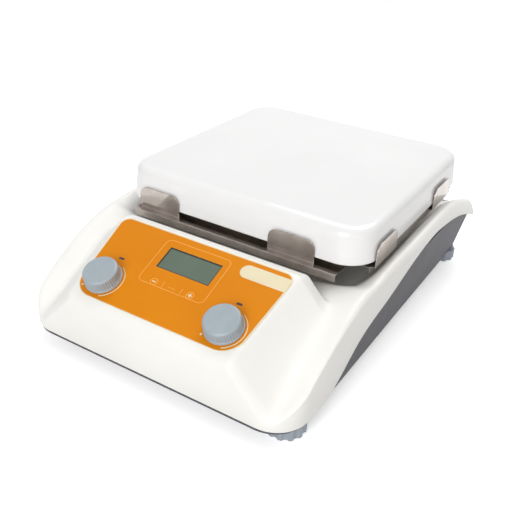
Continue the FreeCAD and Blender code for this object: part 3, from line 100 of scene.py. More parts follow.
@dataclass(frozen=True)
class Finish:
    """A real material: what it is, how it was made and how it looks.

    Sizes are in millimetres, colours are sRGB hex values.
    """

    name: str
    colour: str
    shade: str
    roughness: float = 0.45
    roughness_spread: float = 0.08
    metallic: float = 0.0
    ior: float = 1.5
    coat: float = 0.0
    coat_roughness: float = 0.05
    grain: float = 1.0
    grain_depth: float = 0.02
    mottle: float = 30.0
    pattern: Pattern = Pattern.GRAIN
    run: tuple[float, float, float] = (1.0, 1.0, 1.0)
    tint_ends: tuple[float, float] = (0.3, 0.7)
    relief: float = 0.6

    def material(self) -> bpy.types.Material:
        """Blender material of this finish, made once and then shared.

        The colour drifts slowly over the surface. One fine noise drives both roughness and relief.

        Returns:
            The material.
        """
        known = bpy.data.materials.get(self.name)
        if known is not None:
            return known
        made = bpy.data.materials.new(self.name)
        made.use_nodes = True
        tree = made.node_tree
        tree.nodes.clear()
        place = add_node(tree, "ShaderNodeTexCoord").outputs["Object"]
        shader = add_node(tree, "ShaderNodeBsdfPrincipled", values=self.shader_values())
        drift = {"Scale": 1 / (self.mottle * MM), "Detail": 3.0}
        mottle = add_node(tree, "ShaderNodeTexNoise", values=drift, links={"Vector": place})
        tint = add_node(tree, "ShaderNodeValToRGB", links={"Fac": mottle.outputs["Fac"]})
        for stop, end, colour in zip(tint.color_ramp.elements, self.tint_ends, (self.shade, self.colour)):
            stop.position, stop.color = end, rgb(colour)
        tree.links.new(tint.outputs["Color"], shader.inputs["Base Color"])
        if self.pattern is Pattern.BRUSHED:
            drawn = {"Scale": self.run}
            worked = add_node(tree, "ShaderNodeMapping", values=drawn, links={"Vector": place})
            place = worked.outputs["Vector"]
        fine = {"Scale": 1 / (self.grain * MM), "Detail": 2.0}
        grain = add_node(tree, "ShaderNodeTexNoise", values=fine, links={"Vector": place}).outputs["Fac"]
        low = max(self.roughness - self.roughness_spread, 0.02)
        spread = {"To Min": low, "To Max": self.roughness + self.roughness_spread}
        rough = add_node(tree, "ShaderNodeMapRange", values=spread, links={"Value": grain})
        tree.links.new(rough.outputs["Result"], shader.inputs["Roughness"])
        height = {"Strength": self.relief, "Distance": self.grain_depth * MM}
        bump = add_node(tree, "ShaderNodeBump", values=height, links={"Height": grain})
        tree.links.new(bump.outputs["Normal"], shader.inputs["Normal"])
        add_node(tree, "ShaderNodeOutputMaterial", links={"Surface": shader.outputs["BSDF"]})
        return made

    def shader_values(self) -> dict:
        """Constant inputs of the shader.

        Returns:
            Values by name of the socket. A metal keeps the default IOR.
        """
        values = {"Metallic": self.metallic, "Coat Weight": self.coat,
                  "Coat Roughness": self.coat_roughness}
        if self.metallic < 0.5:
            values["IOR"] = self.ior
        return values


# Grains finer than about 0.5 mm don't show in the render. Tool textures of 0.1 mm and polishing
# lines of 0.05 mm are therefore drawn at 0.5 to 1.1 mm, and each relief is kept low to match.

# Injection-moulded ABS from a spark-eroded tool: warm white with a soft, even sheen.
WHITE_ABS = Finish("moulded white ABS", "#F5F4F0", "#F1F0EC", 0.42, 0.05, grain=0.9,
                   grain_depth=0.006, mottle=60)
# The same plastic in dark grey with a coarser tool texture: nearly matt, with no highlights.
GREY_ABS = Finish("textured dark grey ABS", "#494950", "#404046", 0.6, 0.08, grain=1.1,
                  grain_depth=0.03, mottle=25)
# Porcelain enamel fired on metal: glassy white with a ripple about 9 mm wide in its reflections.
ENAMEL = Finish("white porcelain enamel", "#F3F3F3", "#EFEFEF", 0.14, 0.02, grain=9,
                grain_depth=0.012, mottle=80)
# Polycarbonate sheet printed from behind: deep even orange under a fine satin face.
ORANGE_FILM = Finish("printed orange polycarbonate", "#DD8600", "#DA8200", 0.5, 0.05, ior=1.3,
                     grain=0.7, grain_depth=0.004, mottle=40)
# Opaque screen ink: a flat cream edge and marks, a little glossier than the film.
CREAM_INK = Finish("cream screen ink", "#E9DDBC", "#E5D9B6", 0.4, 0.05, grain=0.7,
                   grain_depth=0.003, mottle=12)
# Thin screen ink over orange: pale lines that let some of the orange through.
PALE_INK = Finish("pale orange screen ink", "#FBB45A", "#F8AC4E", 0.4, 0.05, grain=0.7,
                  grain_depth=0.003, mottle=12)
# Liquid crystal glass behind a clear window: grey-green under a clean gloss.
LCD_GLASS = Finish("unlit display glass", "#5C6F5E", "#546656", 0.3, 0.03, coat=0.1,
                   coat_roughness=0.04, grain=0.6, grain_depth=0.002, mottle=35)
# Painted shade round the display: a thin dark ring that stands for the shaded inner wall of the window's
# recess and sets the glass back.
PAINTED_RECESS_SHADE = Finish("painted recess shade", "#2A261D", "#211E17", 0.4, 0.05, grain=0.6,
                   grain_depth=0.004)
# Tinted acrylic over an unlit lamp: dark red-brown with a sharp gloss.
LAMP_ABS = Finish("smoked red acrylic", "#4A1208", "#2C0A05", 0.22, 0.03, coat=0.5, grain=0.5,
                  grain_depth=0.003, mottle=3)
# Moulded ABS with a satin tool finish: cool blue-grey, with soft light along the ribs.
KNOB_ABS = Finish("satin blue-grey ABS", "#A3AEB5", "#9CA7AF", 0.38, 0.06, grain=0.8,
                  grain_depth=0.006, mottle=9)
# Moulded polypropylene: greyer and duller than the dials, slightly waxy.
FOOT_ABS = Finish("grey moulded polypropylene", "#A3ABB5", "#98A0AA", 0.5, 0.08, grain=0.9,
                  grain_depth=0.02, mottle=8)
# Rolled stainless steel, polished: reflections blur a little along the rolling lines.
POLISHED_STEEL = Finish("polished stainless steel", "#BAB2AC", "#A59D97", 0.13, 0.05, metallic=1.0,
                        grain=0.6, grain_depth=0.004, mottle=14, pattern=Pattern.BRUSHED,
                        run=(0.05, 0.05, 1.0))
# Glass-filled polyester: black with a dry, slightly uneven sheen where fibres reach the face.
BLACK_PBT = Finish("black glass-filled polyester", "#232326", "#1B1B1D", 0.5, 0.08, grain=0.8,
                   grain_depth=0.012, mottle=9)
# Turned brass under bright nickel: warm silver, drawn out round the turning.
NICKEL = Finish("nickel-plated brass", "#C9C4B8", "#B9B3A6", 0.22, 0.06, metallic=1.0, grain=0.6,
                grain_depth=0.004, mottle=4, pattern=Pattern.BRUSHED, run=(1.0, 1.0, 0.1))
# Barrel-plated zinc: bluish grey metal, blurred and a little cloudy.
ZINC = Finish("zinc-plated steel", "#B9BCC0", "#A3A7AD", 0.33, 0.08, metallic=1.0, grain=0.7,
              grain_depth=0.006, mottle=3)
# Blackened steel, oiled: dark metal with broad dull highlights.
DARK_METAL = Finish("black oxide steel", "#6A6C70", "#56585C", 0.38, 0.08, metallic=1.0, grain=0.7,
                    grain_depth=0.006, mottle=3)
# Extruded aluminium: pale metal, streaked along the die's direction.
ALUMINIUM = Finish("extruded aluminium", "#C8CACC", "#B9BBBE", 0.34, 0.08, metallic=1.0, grain=0.5,
                   grain_depth=0.006, mottle=8, pattern=Pattern.BRUSHED, run=(1.0, 1.0, 0.06))
# Pressed and sintered ferrite: charcoal, matt like unglazed stoneware.
FERRITE = Finish("sintered ferrite", "#3A3A3C", "#2C2C2E", 0.62, 0.08, grain=0.5, grain_depth=0.02,
                 mottle=2)
# Stacked sheets dipped in varnish: brown-grey, half metal, with the sheets' fine steps.
IRON_CORE = Finish("varnished iron laminations", "#5A554F", "#433F3B", 0.45, 0.1, metallic=0.6,
                   grain=0.6, grain_depth=0.02, mottle=5, pattern=Pattern.BRUSHED,
                   run=(0.1, 0.1, 1.0))
# Solder mask over copper and glass cloth: wet-looking green, slightly uneven.
CIRCUIT_BOARD = Finish("green solder mask", "#1F5B3A", "#174A2E", 0.35, 0.06, coat=0.3, grain=1.2,
                       grain_depth=0.02, mottle=7)
# Moulded nylon without pigment: milky off-white with a low sheen.
WHITE_NYLON = Finish("natural nylon", "#E6E2D6", "#DAD5C6", 0.45, 0.06, grain=0.7,
                     grain_depth=0.006, mottle=4)
# Pressed mineral fibre: dry pale wool with a coarse felted face.
MINERAL_WOOL = Finish("pressed mineral fibre", "#D8D2C2", "#C2BBA8", 0.9, 0.05, grain=1.4,
                      grain_depth=0.25, mottle=6)

INNER_FINISHES = {
    BLACK_PBT: ("display_module", "key_switches", "safety_cutout"),
    ZINC: ("temperature_control", "speed_control", "temperature_shaft", "speed_shaft",
           "control_board_screws", "tray_posts", "plate_screws", "motor_bracket", "motor_screws",
           "motor_shaft", "power_board_screws"),
    CIRCUIT_BOARD: ("control_board", "power_board"),
    WHITE_NYLON: ("board_spacers", "power_board_spacers"),
    ALUMINIUM: ("heating_element", "magnet_carrier", "heat_sink"),
    MINERAL_WOOL: ("insulation_pad",),
    NICKEL: ("temperature_sensor", "motor_bearings"),
    DARK_METAL: ("stirrer_motor", "housing_screws"),
    FERRITE: ("drive_magnets",),
    IRON_CORE: ("transformer",),
}


def link_object(name: str, data: bpy.types.ID) -> bpy.types.Object:
    """Put a mesh, lamp or camera in the scene.

    Args:
        name: Name of the object.
        data: What it shows.

    Returns:
        The new object.
    """
    made = bpy.data.objects.new(name, data)
    bpy.context.scene.collection.objects.link(made)
    return made


def finish_piece(piece: bpy.types.Object, finish: Finish, body: str, slot: str,
                 *nodes: str) -> bpy.types.Object:
    """Give a piece its material and body, and hide the solids that it stands for.

    Args:
        piece: The new object.
        finish: What it is made of.
        body: Body that it moves with.
        slot: Material slot of the record; not used.
        *nodes: Solids that it takes the place of.

    Returns:
        The same object.
    """
    piece.data.materials.clear()
    piece.data.materials.append(finish.material())
    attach(piece, body)
    if nodes:
        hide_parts(*nodes)
    LOG.info("%s: %d faces, %s", piece.name, len(piece.data.polygons), finish.name)
    return piece


def object_from(name: str, points: list, faces: list, sharp_degrees: float = 35.0) -> bpy.types.Object:
    """Make an object of points in millimetres.

    Args:
        name: Name of the piece.
        points: Corners in millimetres, in the shared frame.
        faces: Corner numbers of each face.
        sharp_degrees: Edges that bend more than this stay crisp.

    Returns:
        The object, linked to the scene.
    """
    mesh = bpy.data.meshes.new(name)
    mesh.from_pydata([tuple(value * MM for value in point) for point in points], [], faces)
    return object_of_mesh(name, mesh, sharp_degrees)


def object_of_mesh(name: str, mesh: bpy.types.Mesh, sharp_degrees: float = 35.0) -> bpy.types.Object:
    """Clean a mesh, shade it smooth up to an angle and put it in the scene.

    Args:
        name: Name of the piece.
        mesh: Mesh in metres, whose doubled corners are welded.
        sharp_degrees: Edges that bend more than this stay crisp.

    Returns:
        The object, linked to the scene.
    """
    form = bmesh.new()
    form.from_mesh(mesh)
    bmesh.ops.remove_doubles(form, verts=form.verts, dist=WELD_MM * MM)
    bmesh.ops.recalc_face_normals(form, faces=form.faces)
    limit = math.radians(sharp_degrees)
    for edge in form.edges:
        edge.smooth = len(edge.link_faces) == 2 and edge.calc_face_angle(0.0) < limit
    for face in form.faces:
        face.smooth = True
    form.to_mesh(mesh)
    form.free()
    return link_object(name, mesh)


def bevelled_copy(node: str, name: str, bevel: float, segments: int = 2,
                  reshape: Callable[[bmesh.types.BMesh], None] | None = None) -> bpy.types.Object:
    """Copy a solid's mesh and round its sharp edges.

    Args:
        node: Solid to copy.
        name: Name of the new piece.
        bevel: Width of the rounding in millimetres.
        segments: Faces across the rounding.
        reshape: Change made to the copy before its edges are rounded.

    Returns:
        The new object; the solid itself is untouched.
    """
    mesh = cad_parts[node].data.copy()
    mesh.name = name
    form = bmesh.new()
    form.from_mesh(mesh)
    bmesh.ops.remove_doubles(form, verts=form.verts, dist=WELD_MM * MM)
    bmesh.ops.dissolve_limit(form, angle_limit=math.radians(FLAT_DEGREES), verts=form.verts,
                             edges=form.edges)
    if reshape is not None:
        reshape(form)
    crisp = [edge for edge in form.edges
             if len(edge.link_faces) == 2 and edge.calc_face_angle(0.0) > math.radians(CRISP_DEGREES)]
    bmesh.ops.bevel(form, geom=crisp, offset=bevel * MM, segments=segments, profile=0.5,
                    affect="EDGES", clamp_overlap=True)
    form.to_mesh(mesh)
    form.free()
    made = object_of_mesh(name, mesh, 50.0)
    even = made.modifiers.new("even shading", "WEIGHTED_NORMAL")
    even.keep_sharp = True
    return made


def ring_faces(rings: int, count: int) -> list[tuple[int, ...]]:
    """Join closed rings of points into a skin with a cap at either end.

    Args:
        rings: Number of rings, one after the other in the list of points.
        count: Points in each ring.

    Returns:
        Point numbers of each face.
    """
    faces: list[tuple[int, ...]] = []
    for ring in range(rings - 1):
        low, high = ring * count, (ring + 1) * count
        for step in range(count):
            ahead = (step + 1) % count
            faces.append((low + step, low + ahead, high + ahead, high + step))
    faces.append(tuple(range(count))[::-1])
    faces.append(tuple(range((rings - 1) * count, rings * count)))
    return faces


def lathe(profile: Loop, steps: int, centre: tuple[float, float] = (0.0, 0.0)) -> tuple[list, list]:
    """Turn a profile round an upright axis.

    Args:
        profile: Radius and height of each ring, from the bottom middle to the top middle.
        steps: Sides of the turned form.
        centre: Plan position of the axis.

    Returns:
        Points and faces.
    """
    points = []
    for radius, height in profile:
        points += [(x, y, height) for x, y in circle_loop(radius, *centre, steps)]
    return points, ring_faces(len(profile), steps)


def rounded_loop(corners: Loop, radii: list[float], steps: int = 10) -> Loop:
    """Round each corner of a plan outline.

    Args:
        corners: Corners in order, counter-clockwise.
        radii: Radius of each corner.
        steps: Points along each rounding.

    Returns:
        Points of the rounded outline.
    """
    loop = []
    count = len(corners)
    for index, (x, y) in enumerate(corners):
        here = Vector((x, y))
        back = (Vector(corners[index - 1]) - here).normalized()
        ahead = (Vector(corners[(index + 1) % count]) - here).normalized()
        half = back.angle(ahead) / 2
        middle = here + (back + ahead).normalized() * radii[index] / math.sin(half)
        start = here + back * radii[index] / math.tan(half) - middle
        sweep = math.pi - 2 * half
        for step in range(steps + 1):
            spoke = Vector((start.x, start.y))
            spoke.rotate(Matrix.Rotation(sweep * step / steps, 2))
            loop.append(tuple(middle + spoke))
    return loop


def circle_loop(radius: float, x: float = 0.0, y: float = 0.0, steps: int = 48) -> Loop:
    """Points round a circle."""
    turns = [2 * math.pi * step / steps for step in range(steps)]
    return [(x + radius * math.cos(turn), y + radius * math.sin(turn)) for turn in turns]


def box_loop(width: float, height: float, x: float = 0.0, y: float = 0.0, radius: float = 0.3) -> Loop:
    """Points round a rectangle with rounded corners.

    Args:
        width: Size across.
        height: Size up.
        x: Centre across.
        y: Centre up.
        radius: Radius of its corners.

    Returns:
        Points of the outline.
    """
    half_x, half_y = width / 2, height / 2
    corners = [(x - half_x, y - half_y), (x + half_x, y - half_y), (x + half_x, y + half_y),
               (x - half_x, y + half_y)]
    return rounded_loop(corners, [radius] * 4, 5)


def smooth_step(share: np.ndarray) -> np.ndarray:
    """Share that leaves 0 and reaches 1 without a kink."""
    return share * share * (3 - 2 * share)


def soft_min(one: np.ndarray, other: np.ndarray, reach: float) -> np.ndarray:
    """Lower of two heights, blended where they are closer than a reach."""
    near = np.maximum(reach - np.abs(one - other), 0) / reach
    return np.minimum(one, other) - near * near * reach / 4


def soft_max(one: np.ndarray, other: np.ndarray, reach: float) -> np.ndarray:
    """Higher of two heights, blended where they are closer than a reach."""
    return -soft_min(-one, -other, reach)


class SideLine:
    """Smooth side view through a few stations, with straight ends."""

    def __init__(self, stations: Loop, level_start: bool = False) -> None:
        """Work out the slopes at the stations.

        Args:
            stations: Distance along the body and height of each point.
            level_start: The line leaves its first point level.
        """
        self.along = np.array([station[0] for station in stations])
        self.height = np.array([station[1] for station in stations])
        gaps = np.diff(self.along)
        chords = np.diff(self.height) / gaps
        count = len(stations)
        rows = np.eye(count)
        sums = np.zeros(count)
        sums[0] = 0.0 if level_start else chords[0]
        sums[-1] = chords[-1]
        for index in range(1, count - 1):
            rows[index, index - 1] = gaps[index]
            rows[index, index] = 2 * (gaps[index - 1] + gaps[index])
            rows[index, index + 1] = gaps[index - 1]
            sums[index] = 3 * (gaps[index] * chords[index - 1] + gaps[index - 1] * chords[index])
        self.slopes = np.linalg.solve(rows, sums)

    def at(self, where: np.ndarray) -> np.ndarray:
        """Height of the line.

        Args:
            where: Places along the body.

        Returns:
            Height at each place, held level past either end.
        """
        held = np.clip(where, self.along[0], self.along[-1])
        index = np.clip(np.searchsorted(self.along, held) - 1, 0, len(self.along) - 2)
        gap = self.along[index + 1] - self.along[index]
        part = (held - self.along[index]) / gap
        start, end = self.height[index], self.height[index + 1]
        leave, reach = self.slopes[index] * gap, self.slopes[index + 1] * gap
        cubic = 2 * start - 2 * end + leave + reach
        square = -3 * start + 3 * end - 2 * leave - reach
        return ((cubic * part + square) * part + leave) * part + start


@dataclass
class Panel:
    """Sloping control panel: its place, and a frame of its own.

    Across is X, up is along the slope and out is away from the face.
    """

    length: float = 86.7
    low_width: float = 161.2
    high_width: float = 178.6
    slope: float = 22.84
    foot_y: float = -199.3
    foot_z: float = 67.6

    @property
    def tilt(self) -> float:
        """Slope in radians."""
        return math.radians(self.slope)

    @property
    def centre_y(self) -> float:
        """Panel centre along the body."""
        return self.foot_y + self.length / 2 * math.cos(self.tilt)

    @property
    def centre_z(self) -> float:
        """Panel centre above the bench."""
        return self.foot_z + self.length / 2 * math.sin(self.tilt)

    def point(self, across: float, up: float, out: float) -> tuple[float, float, float]:
        """Turn a point of the panel's own frame into the shared frame.

        Args:
            across: Distance to the right of the middle.
            up: Distance up the slope from the middle.
            out: Distance away from the face.

        Returns:
            The point, in millimetres.
        """
        y = self.centre_y + up * math.cos(self.tilt) - out * math.sin(self.tilt)
        z = self.centre_z + up * math.sin(self.tilt) + out * math.cos(self.tilt)
        return (across, y, z)

    def edge(self, up: float) -> float:
        """Half width of the panel at a height up the slope."""
        part = up / self.length + 0.5
        return (self.low_width + (self.high_width - self.low_width) * part) / 2

    def flat(self, name: str, loops: list[Loop], low: float, high: float) -> bpy.types.Object:
        """Thin flat piece lying on the panel.

        Args:
            name: Name of the piece.
            loops: Outline and holes, in the panel's frame.
            low: Its underside above the panel's face.
            high: Its top above the panel's face.

        Returns:
            The piece.
        """
        curve = bpy.data.curves.new(name + " outline", "CURVE")
        curve.dimensions = "2D"
        curve.fill_mode = "BOTH"
        curve.extrude = (high - low) / 2
        for loop in loops:
            spline = curve.splines.new("POLY")
            spline.points.add(len(loop) - 1)
            for point, (x, y) in zip(spline.points, loop):
                point.co = (x, y, 0, 1)
            spline.use_cyclic_u = True
        holder = bpy.data.objects.new(name + " holder", curve)
        mesh = bpy.data.meshes.new_from_object(holder)
        mesh.name = name
        bpy.data.objects.remove(holder)
        for vertex in mesh.vertices:
            x, y, z = vertex.co
            vertex.co = Vector(self.point(x, y, z + (low + high) / 2)) * MM
        return object_of_mesh(name, mesh)


@dataclass
class Shell:
    """White upper housing and dark base, in millimetres."""

    panel: Panel
    half_depth: float = 206.0
    front_half: float = 136.0
    rear_half: float = 151.4
    corner: float = 30.0
    roll: float = 8.0
    roll_drop: float = 3.6
    wall: float = 2.5
    lip_round: float = 0.6
    seam_lift: float = 0.5
    undercut_top: float = 14.9
    undercut_depth: float = 9.0
    undercut_fade: float = 2.0
    undercut_reach: float = 3.0
    undercut_spine: float = 140.0
    floor: float = 56.0
    well_front: float = -103.0
    tub_front: float = -60.0
    tub_slope: float = 56.0
    tub_top: tuple[float, float] = (129.6, 88.0)
    tub_ease: float = 22.0
    tub_ease_start: float = -40.0
    tub_ease_run: float = 50.0
    tub_corner_blend: float = 16.0
    tub_blend: float = 12.0
    crest_half: float = 140.0
    crest_lift: float = 1.6
    crest_blend: float = 9.0
    fall_in: float = 0.5
    fall_ease: float = 0.2
    fall_ease_ends: tuple[float, float] = (-150.0, 20.0)
    fall_ease_runs: tuple[float, float] = (50.0, 40.0)
    fall_out: float = 1.3
    ledge: float = 13.0
    nose_blend: float = 1.6
    ledge_blend: float = 0.7
    ledge_rear_blend: float = 7.0
    podium_side_blend: float = 2.2
    podium_foot_blend: float = 9.0
    key_pocket: tuple[float, float, float] = (26.0, 7.5, 1.4)
    margin: float = 0.7
    nose_slope: float = 42.0
    side_slope: float = 47.0
    rear_slope: float = 75.0
    ledge_fall: float = 17.0
    turret_radius: float = 55.0
    turret_top: float = 89.0
    plate_y: float = 49.0
    step: float = 1.6
    crest: SideLine = field(default_factory=lambda: SideLine([
        (-206, 33), (-165, 59), (-103, 86), (-30, 92.5), (60, 95), (130, 89), (206, 64)]))
    seam: SideLine = field(default_factory=lambda: SideLine([
        (-160, 17), (-138, 22), (-102, 44), (-50, 60), (1, 75), (94, 83), (206, 52)], True))

    @property
    def lean(self) -> float:
        """Growth of the plan's half width along the body."""
        return (self.rear_half - self.front_half) / (2 * self.half_depth)

    def podium(self, x: np.ndarray, y: np.ndarray) -> np.ndarray:
        """Height of the panel block: nose, panel, ledge, rear face and side bevels.

        Args:
            x: Places across the body.
            y: Places along the body.

        Returns:
            Height at each place.
        """
        panel = self.panel
        rise = math.tan(panel.tilt)
        nose = math.tan(math.radians(self.nose_slope))
        back = math.tan(math.radians(self.rear_slope))
        fall = math.tan(math.radians(self.side_slope))
        top_y = panel.foot_y + panel.length * math.cos(panel.tilt)
        top_z = panel.foot_z + panel.length * math.sin(panel.tilt)
        widen = (panel.high_width - panel.low_width) / 2 / (top_y - panel.foot_y)
        edge = panel.low_width / 2 + self.margin + widen * (y - panel.foot_y)
        face = panel.foot_z + rise * (y - panel.foot_y)
        front = panel.foot_z - rise * self.margin + nose * (y - panel.foot_y + self.margin)
        behind = np.maximum(y - top_y - self.margin, 0)
        level = top_z + rise * self.margin - math.tan(math.radians(self.ledge_fall)) * behind
        rear = top_z + back * (top_y + self.ledge - y)
        top = soft_min(soft_min(face, front, self.nose_blend), level, self.ledge_blend)
        top = soft_min(top, rear, self.ledge_rear_blend)
        return soft_min(top, top + fall * (edge - np.abs(x)), self.podium_side_blend)

    def height(self, x: np.ndarray, y: np.ndarray) -> np.ndarray:
        """Height of the housing's outer surface before its edge is rolled over.

        Args:
            x: Places across the body.
            y: Places along the body.

        Returns:
            Height at each place.
        """
        crest = self.crest.at(y) + self.crest_lift
        start, end = self.fall_ease_ends
        run_in, run_out = self.fall_ease_runs
        near = np.clip((y - start) / run_in, 0, 1) * np.clip((end - y) / run_out, 0, 1)
        inner = crest - (self.fall_in - self.fall_ease * smooth_step(near)) * (self.crest_half - np.abs(x))
        outer = crest - self.fall_out * (np.abs(x) - self.crest_half)
        rail = soft_min(inner, outer, self.crest_blend)
        body = soft_max(self.podium(x, y), rail, self.podium_foot_blend)
        body = np.maximum(body, np.where(y > self.well_front, self.floor, 0.0))
        ease = smooth_step(np.clip((self.tub_ease_start - y) / self.tub_ease_run, 0, 1))
        side_lean = np.tan(np.radians(self.tub_slope - self.tub_ease * ease))
        sides = self.tub_top[1] + side_lean * (np.abs(x) - self.tub_top[0])
        front = self.floor + math.tan(math.radians(self.tub_slope)) * (self.tub_front - y)
        tub = soft_max(sides, front, self.tub_corner_blend)
        tub = soft_max(tub, np.full_like(x, self.floor), self.tub_blend)
        return soft_min(body, tub, self.tub_blend) - self.key_recess(x, y)

    def key_recess(self, x: np.ndarray, y: np.ndarray) -> np.ndarray:
        """Pocket under the keys, hidden by the printed sheet.

        Args:
            x: Places across the body.
            y: Places along the body.

        Returns:
            Depth at each place.
        """
        half_width, half_height, depth = self.key_pocket
        up = (y - self.panel.centre_y) / math.cos(self.panel.tilt)
        inside = (np.abs(x) < half_width) & (np.abs(up - ControlPanel.key_up) < half_height)
        return np.where(inside, depth, 0.0)

    def half_width(self, y: np.ndarray) -> np.ndarray:
        """Half width of the plan outline.

        Args:
            y: Places along the body.

        Returns:
            Half width at each place.
        """
        width = self.front_half + self.lean * (y + self.half_depth)
        for end in (-1, 1):
            spot_y = end * (self.half_depth - self.corner)
            side = self.front_half + self.lean * (spot_y + self.half_depth)
            spot_x = side - self.corner * math.hypot(1, self.lean)
            arc = spot_x + np.sqrt(np.maximum(self.corner ** 2 - (y - spot_y) ** 2, 0))
            beyond = end * (y - spot_y + self.lean * self.corner) > 0
            width = np.where(beyond, arc, width)
        return width

    def inside(self, x: np.ndarray, y: np.ndarray) -> np.ndarray:
        """Distance from plan points to the outline, measured inwards.

        Args:
            x: Places across the body.
            y: Places along the body.

        Returns:
            Distance at each place.
        """
        across = math.hypot(1, self.lean)
        side = (self.front_half + self.lean * (y + self.half_depth) - np.abs(x)) / across
        end = self.half_depth - np.abs(y)
        skew = np.where(y < 0, -1.0, 1.0) * self.lean / across
        gap_side = self.corner - side
        gap_end = self.corner - end
        mixed = gap_side ** 2 + gap_end ** 2 + 2 * gap_side * gap_end * skew
        reach = np.sqrt(np.maximum(mixed, 0) / (1 - skew ** 2))
        cornered = (gap_side > 0) & (gap_end > 0)
        return np.where(cornered, self.corner - reach, np.minimum(side, end))

    def rolled(self, x: np.ndarray, y: np.ndarray) -> np.ndarray:
        """Outer surface with its edge rolled over into the upright wall."""
        part = np.clip(1 - self.inside(x, y) / self.roll, 0, 1)
        return self.height(x, y) - self.roll_drop * (1 - np.sqrt(1 - part * part))

    def rim_offsets(self) -> list[float]:
        """Insets of the first grid lines, closer together towards the wall."""
        return [self.roll * (1 - math.cos(math.radians(turn))) for turn in range(0, 91, 9)]

    def rows(self) -> np.ndarray:
        """Cross lines of the top surface, closer together at either end.

        Returns:
            Places along the body.
        """
        rim = self.rim_offsets()
        inner = self.half_depth - self.roll
        count = int(2 * inner / self.step)
        middle = np.linspace(-inner, inner, count)[1:-1]
        front = np.array([-self.half_depth + offset for offset in rim])
        return np.concatenate([front, middle, -front[::-1]])

    def make_upper(self) -> bpy.types.Object:
        """White shell: rolled top surface, upright skirt, turned-in lip and turret.

        Returns:
            The shell.
        """
        rows = self.rows()
        rim = np.array(self.rim_offsets())
        count = int(2 * (self.rear_half - self.roll) / self.step)
        points, faces = [], []
        widths = self.half_width(rows)
        columns = 2 * len(rim) + count - 2
        for y, width in zip(rows, widths):
            left = -width + rim
            middle = np.linspace(-(width - self.roll), width - self.roll, count)[1:-1]
            line = np.concatenate([left, middle, -left[::-1]])
            heights = self.rolled(line, np.full_like(line, y))
            points += list(zip(line.tolist(), [float(y)] * columns, heights.tolist()))
        for row in range(len(rows) - 1):
            for column in range(columns - 1):
                at = row * columns + column
                faces.append((at, at + 1, at + columns + 1, at + columns))
        last = (len(rows) - 1) * columns
        edge = list(range(columns)) + [row * columns + columns - 1 for row in range(1, len(rows))]
        edge += [last + column for column in range(columns - 2, -1, -1)]
        edge += [row * columns for row in range(len(rows) - 2, 0, -1)]
        self.add_skirt(points, faces, edge)
        radius, top = self.turret_radius, self.turret_top
        turret = [(radius + 4, self.floor - 1), (radius + 1.2, self.floor + 1), (radius, self.floor + 4),
                  (radius, top - 2), (radius - 0.6, top - 0.6), (radius - 2, top)]
        more, round_faces = lathe(turret, 96, (0.0, self.plate_y))
        shift = len(points)
        points += more
        faces += [tuple(corner + shift for corner in face) for face in round_faces]
        return object_from("upper_shell", points, faces, 50.0)

    def add_skirt(self, points: list, faces: list, edge: list[int]) -> None:
        """Hang the upright wall and its lip from the rim of the top surface.

        Args:
            points: Points so far, which get the wall's rings.
            faces: Faces so far, which get the wall's.
            edge: Point numbers round the rim, counter-clockwise.
        """
        count = len(edge)
        spots = np.array([points[index] for index in edge])
        ahead = np.roll(spots, -1, axis=0) - np.roll(spots, 1, axis=0)
        normal = np.stack([ahead[:, 1], -ahead[:, 0]], axis=1)
        normal /= np.maximum(np.linalg.norm(normal, axis=1)[:, None], 1e-9)
        seam = self.seam.at(spots[:, 1]) + self.seam_lift
        rings = [(0.0, lambda low: 0.5 * (spots[:, 2] + low)), (0.0, lambda low: low + self.lip_round),
                 (0.2 * self.lip_round, lambda low: low + 0.25 * self.lip_round),
                 (self.lip_round, lambda low: low), (self.wall, lambda low: low),
                 (self.wall, lambda low: low + 5 * self.lip_round)]
        before = edge
        for inset, level in rings:
            start = len(points)
            heights = level(seam)
            for index in range(count):
                x = spots[index, 0] - normal[index, 0] * inset
                y = spots[index, 1] - normal[index, 1] * inset
                points.append((float(x), float(y), float(heights[index])))
            ring = list(range(start, start + count))
            for index in range(count):
                following = (index + 1) % count
                faces.append((before[index], ring[index], ring[following], before[following]))
            before = ring

    def dress(self) -> None:
        """Make the shell and round the edges of the base."""
        finish_piece(self.make_upper(), WHITE_ABS, "housing", "white_shell", "upper_housing")
        base = bevelled_copy("base_pan", "base_shell", 0.5, 2, self.undercut)
        finish_piece(base, GREY_ABS, "housing", "grey_base", "base_pan")

    def undercut(self, form: bmesh.types.BMesh) -> None:
        """Slope the base's lowest edge inwards, so that it clears the bench.

        Args:
            form: Mesh of the base, in metres.
        """
        level = self.undercut_top * MM
        geometry = list(form.verts) + list(form.edges) + list(form.faces)
        bmesh.ops.bisect_plane(form, geom=geometry, plane_co=(0, 0, level), plane_no=(0, 0, 1), dist=1e-6)
        for vertex in form.verts:
            x, y, z = (value / MM for value in vertex.co)
            gap = float(self.inside(np.array(x), np.array(y)))
            if z > self.undercut_top - self.undercut_fade or gap > self.undercut_reach:
                continue
            middle = Vector((0.0, np.clip(y, -self.undercut_spine, self.undercut_spine), 0.0)) * MM
            inward = Vector((middle.x - vertex.co.x, middle.y - vertex.co.y, 0.0)).normalized()
            vertex.co += inward * self.undercut_depth * MM


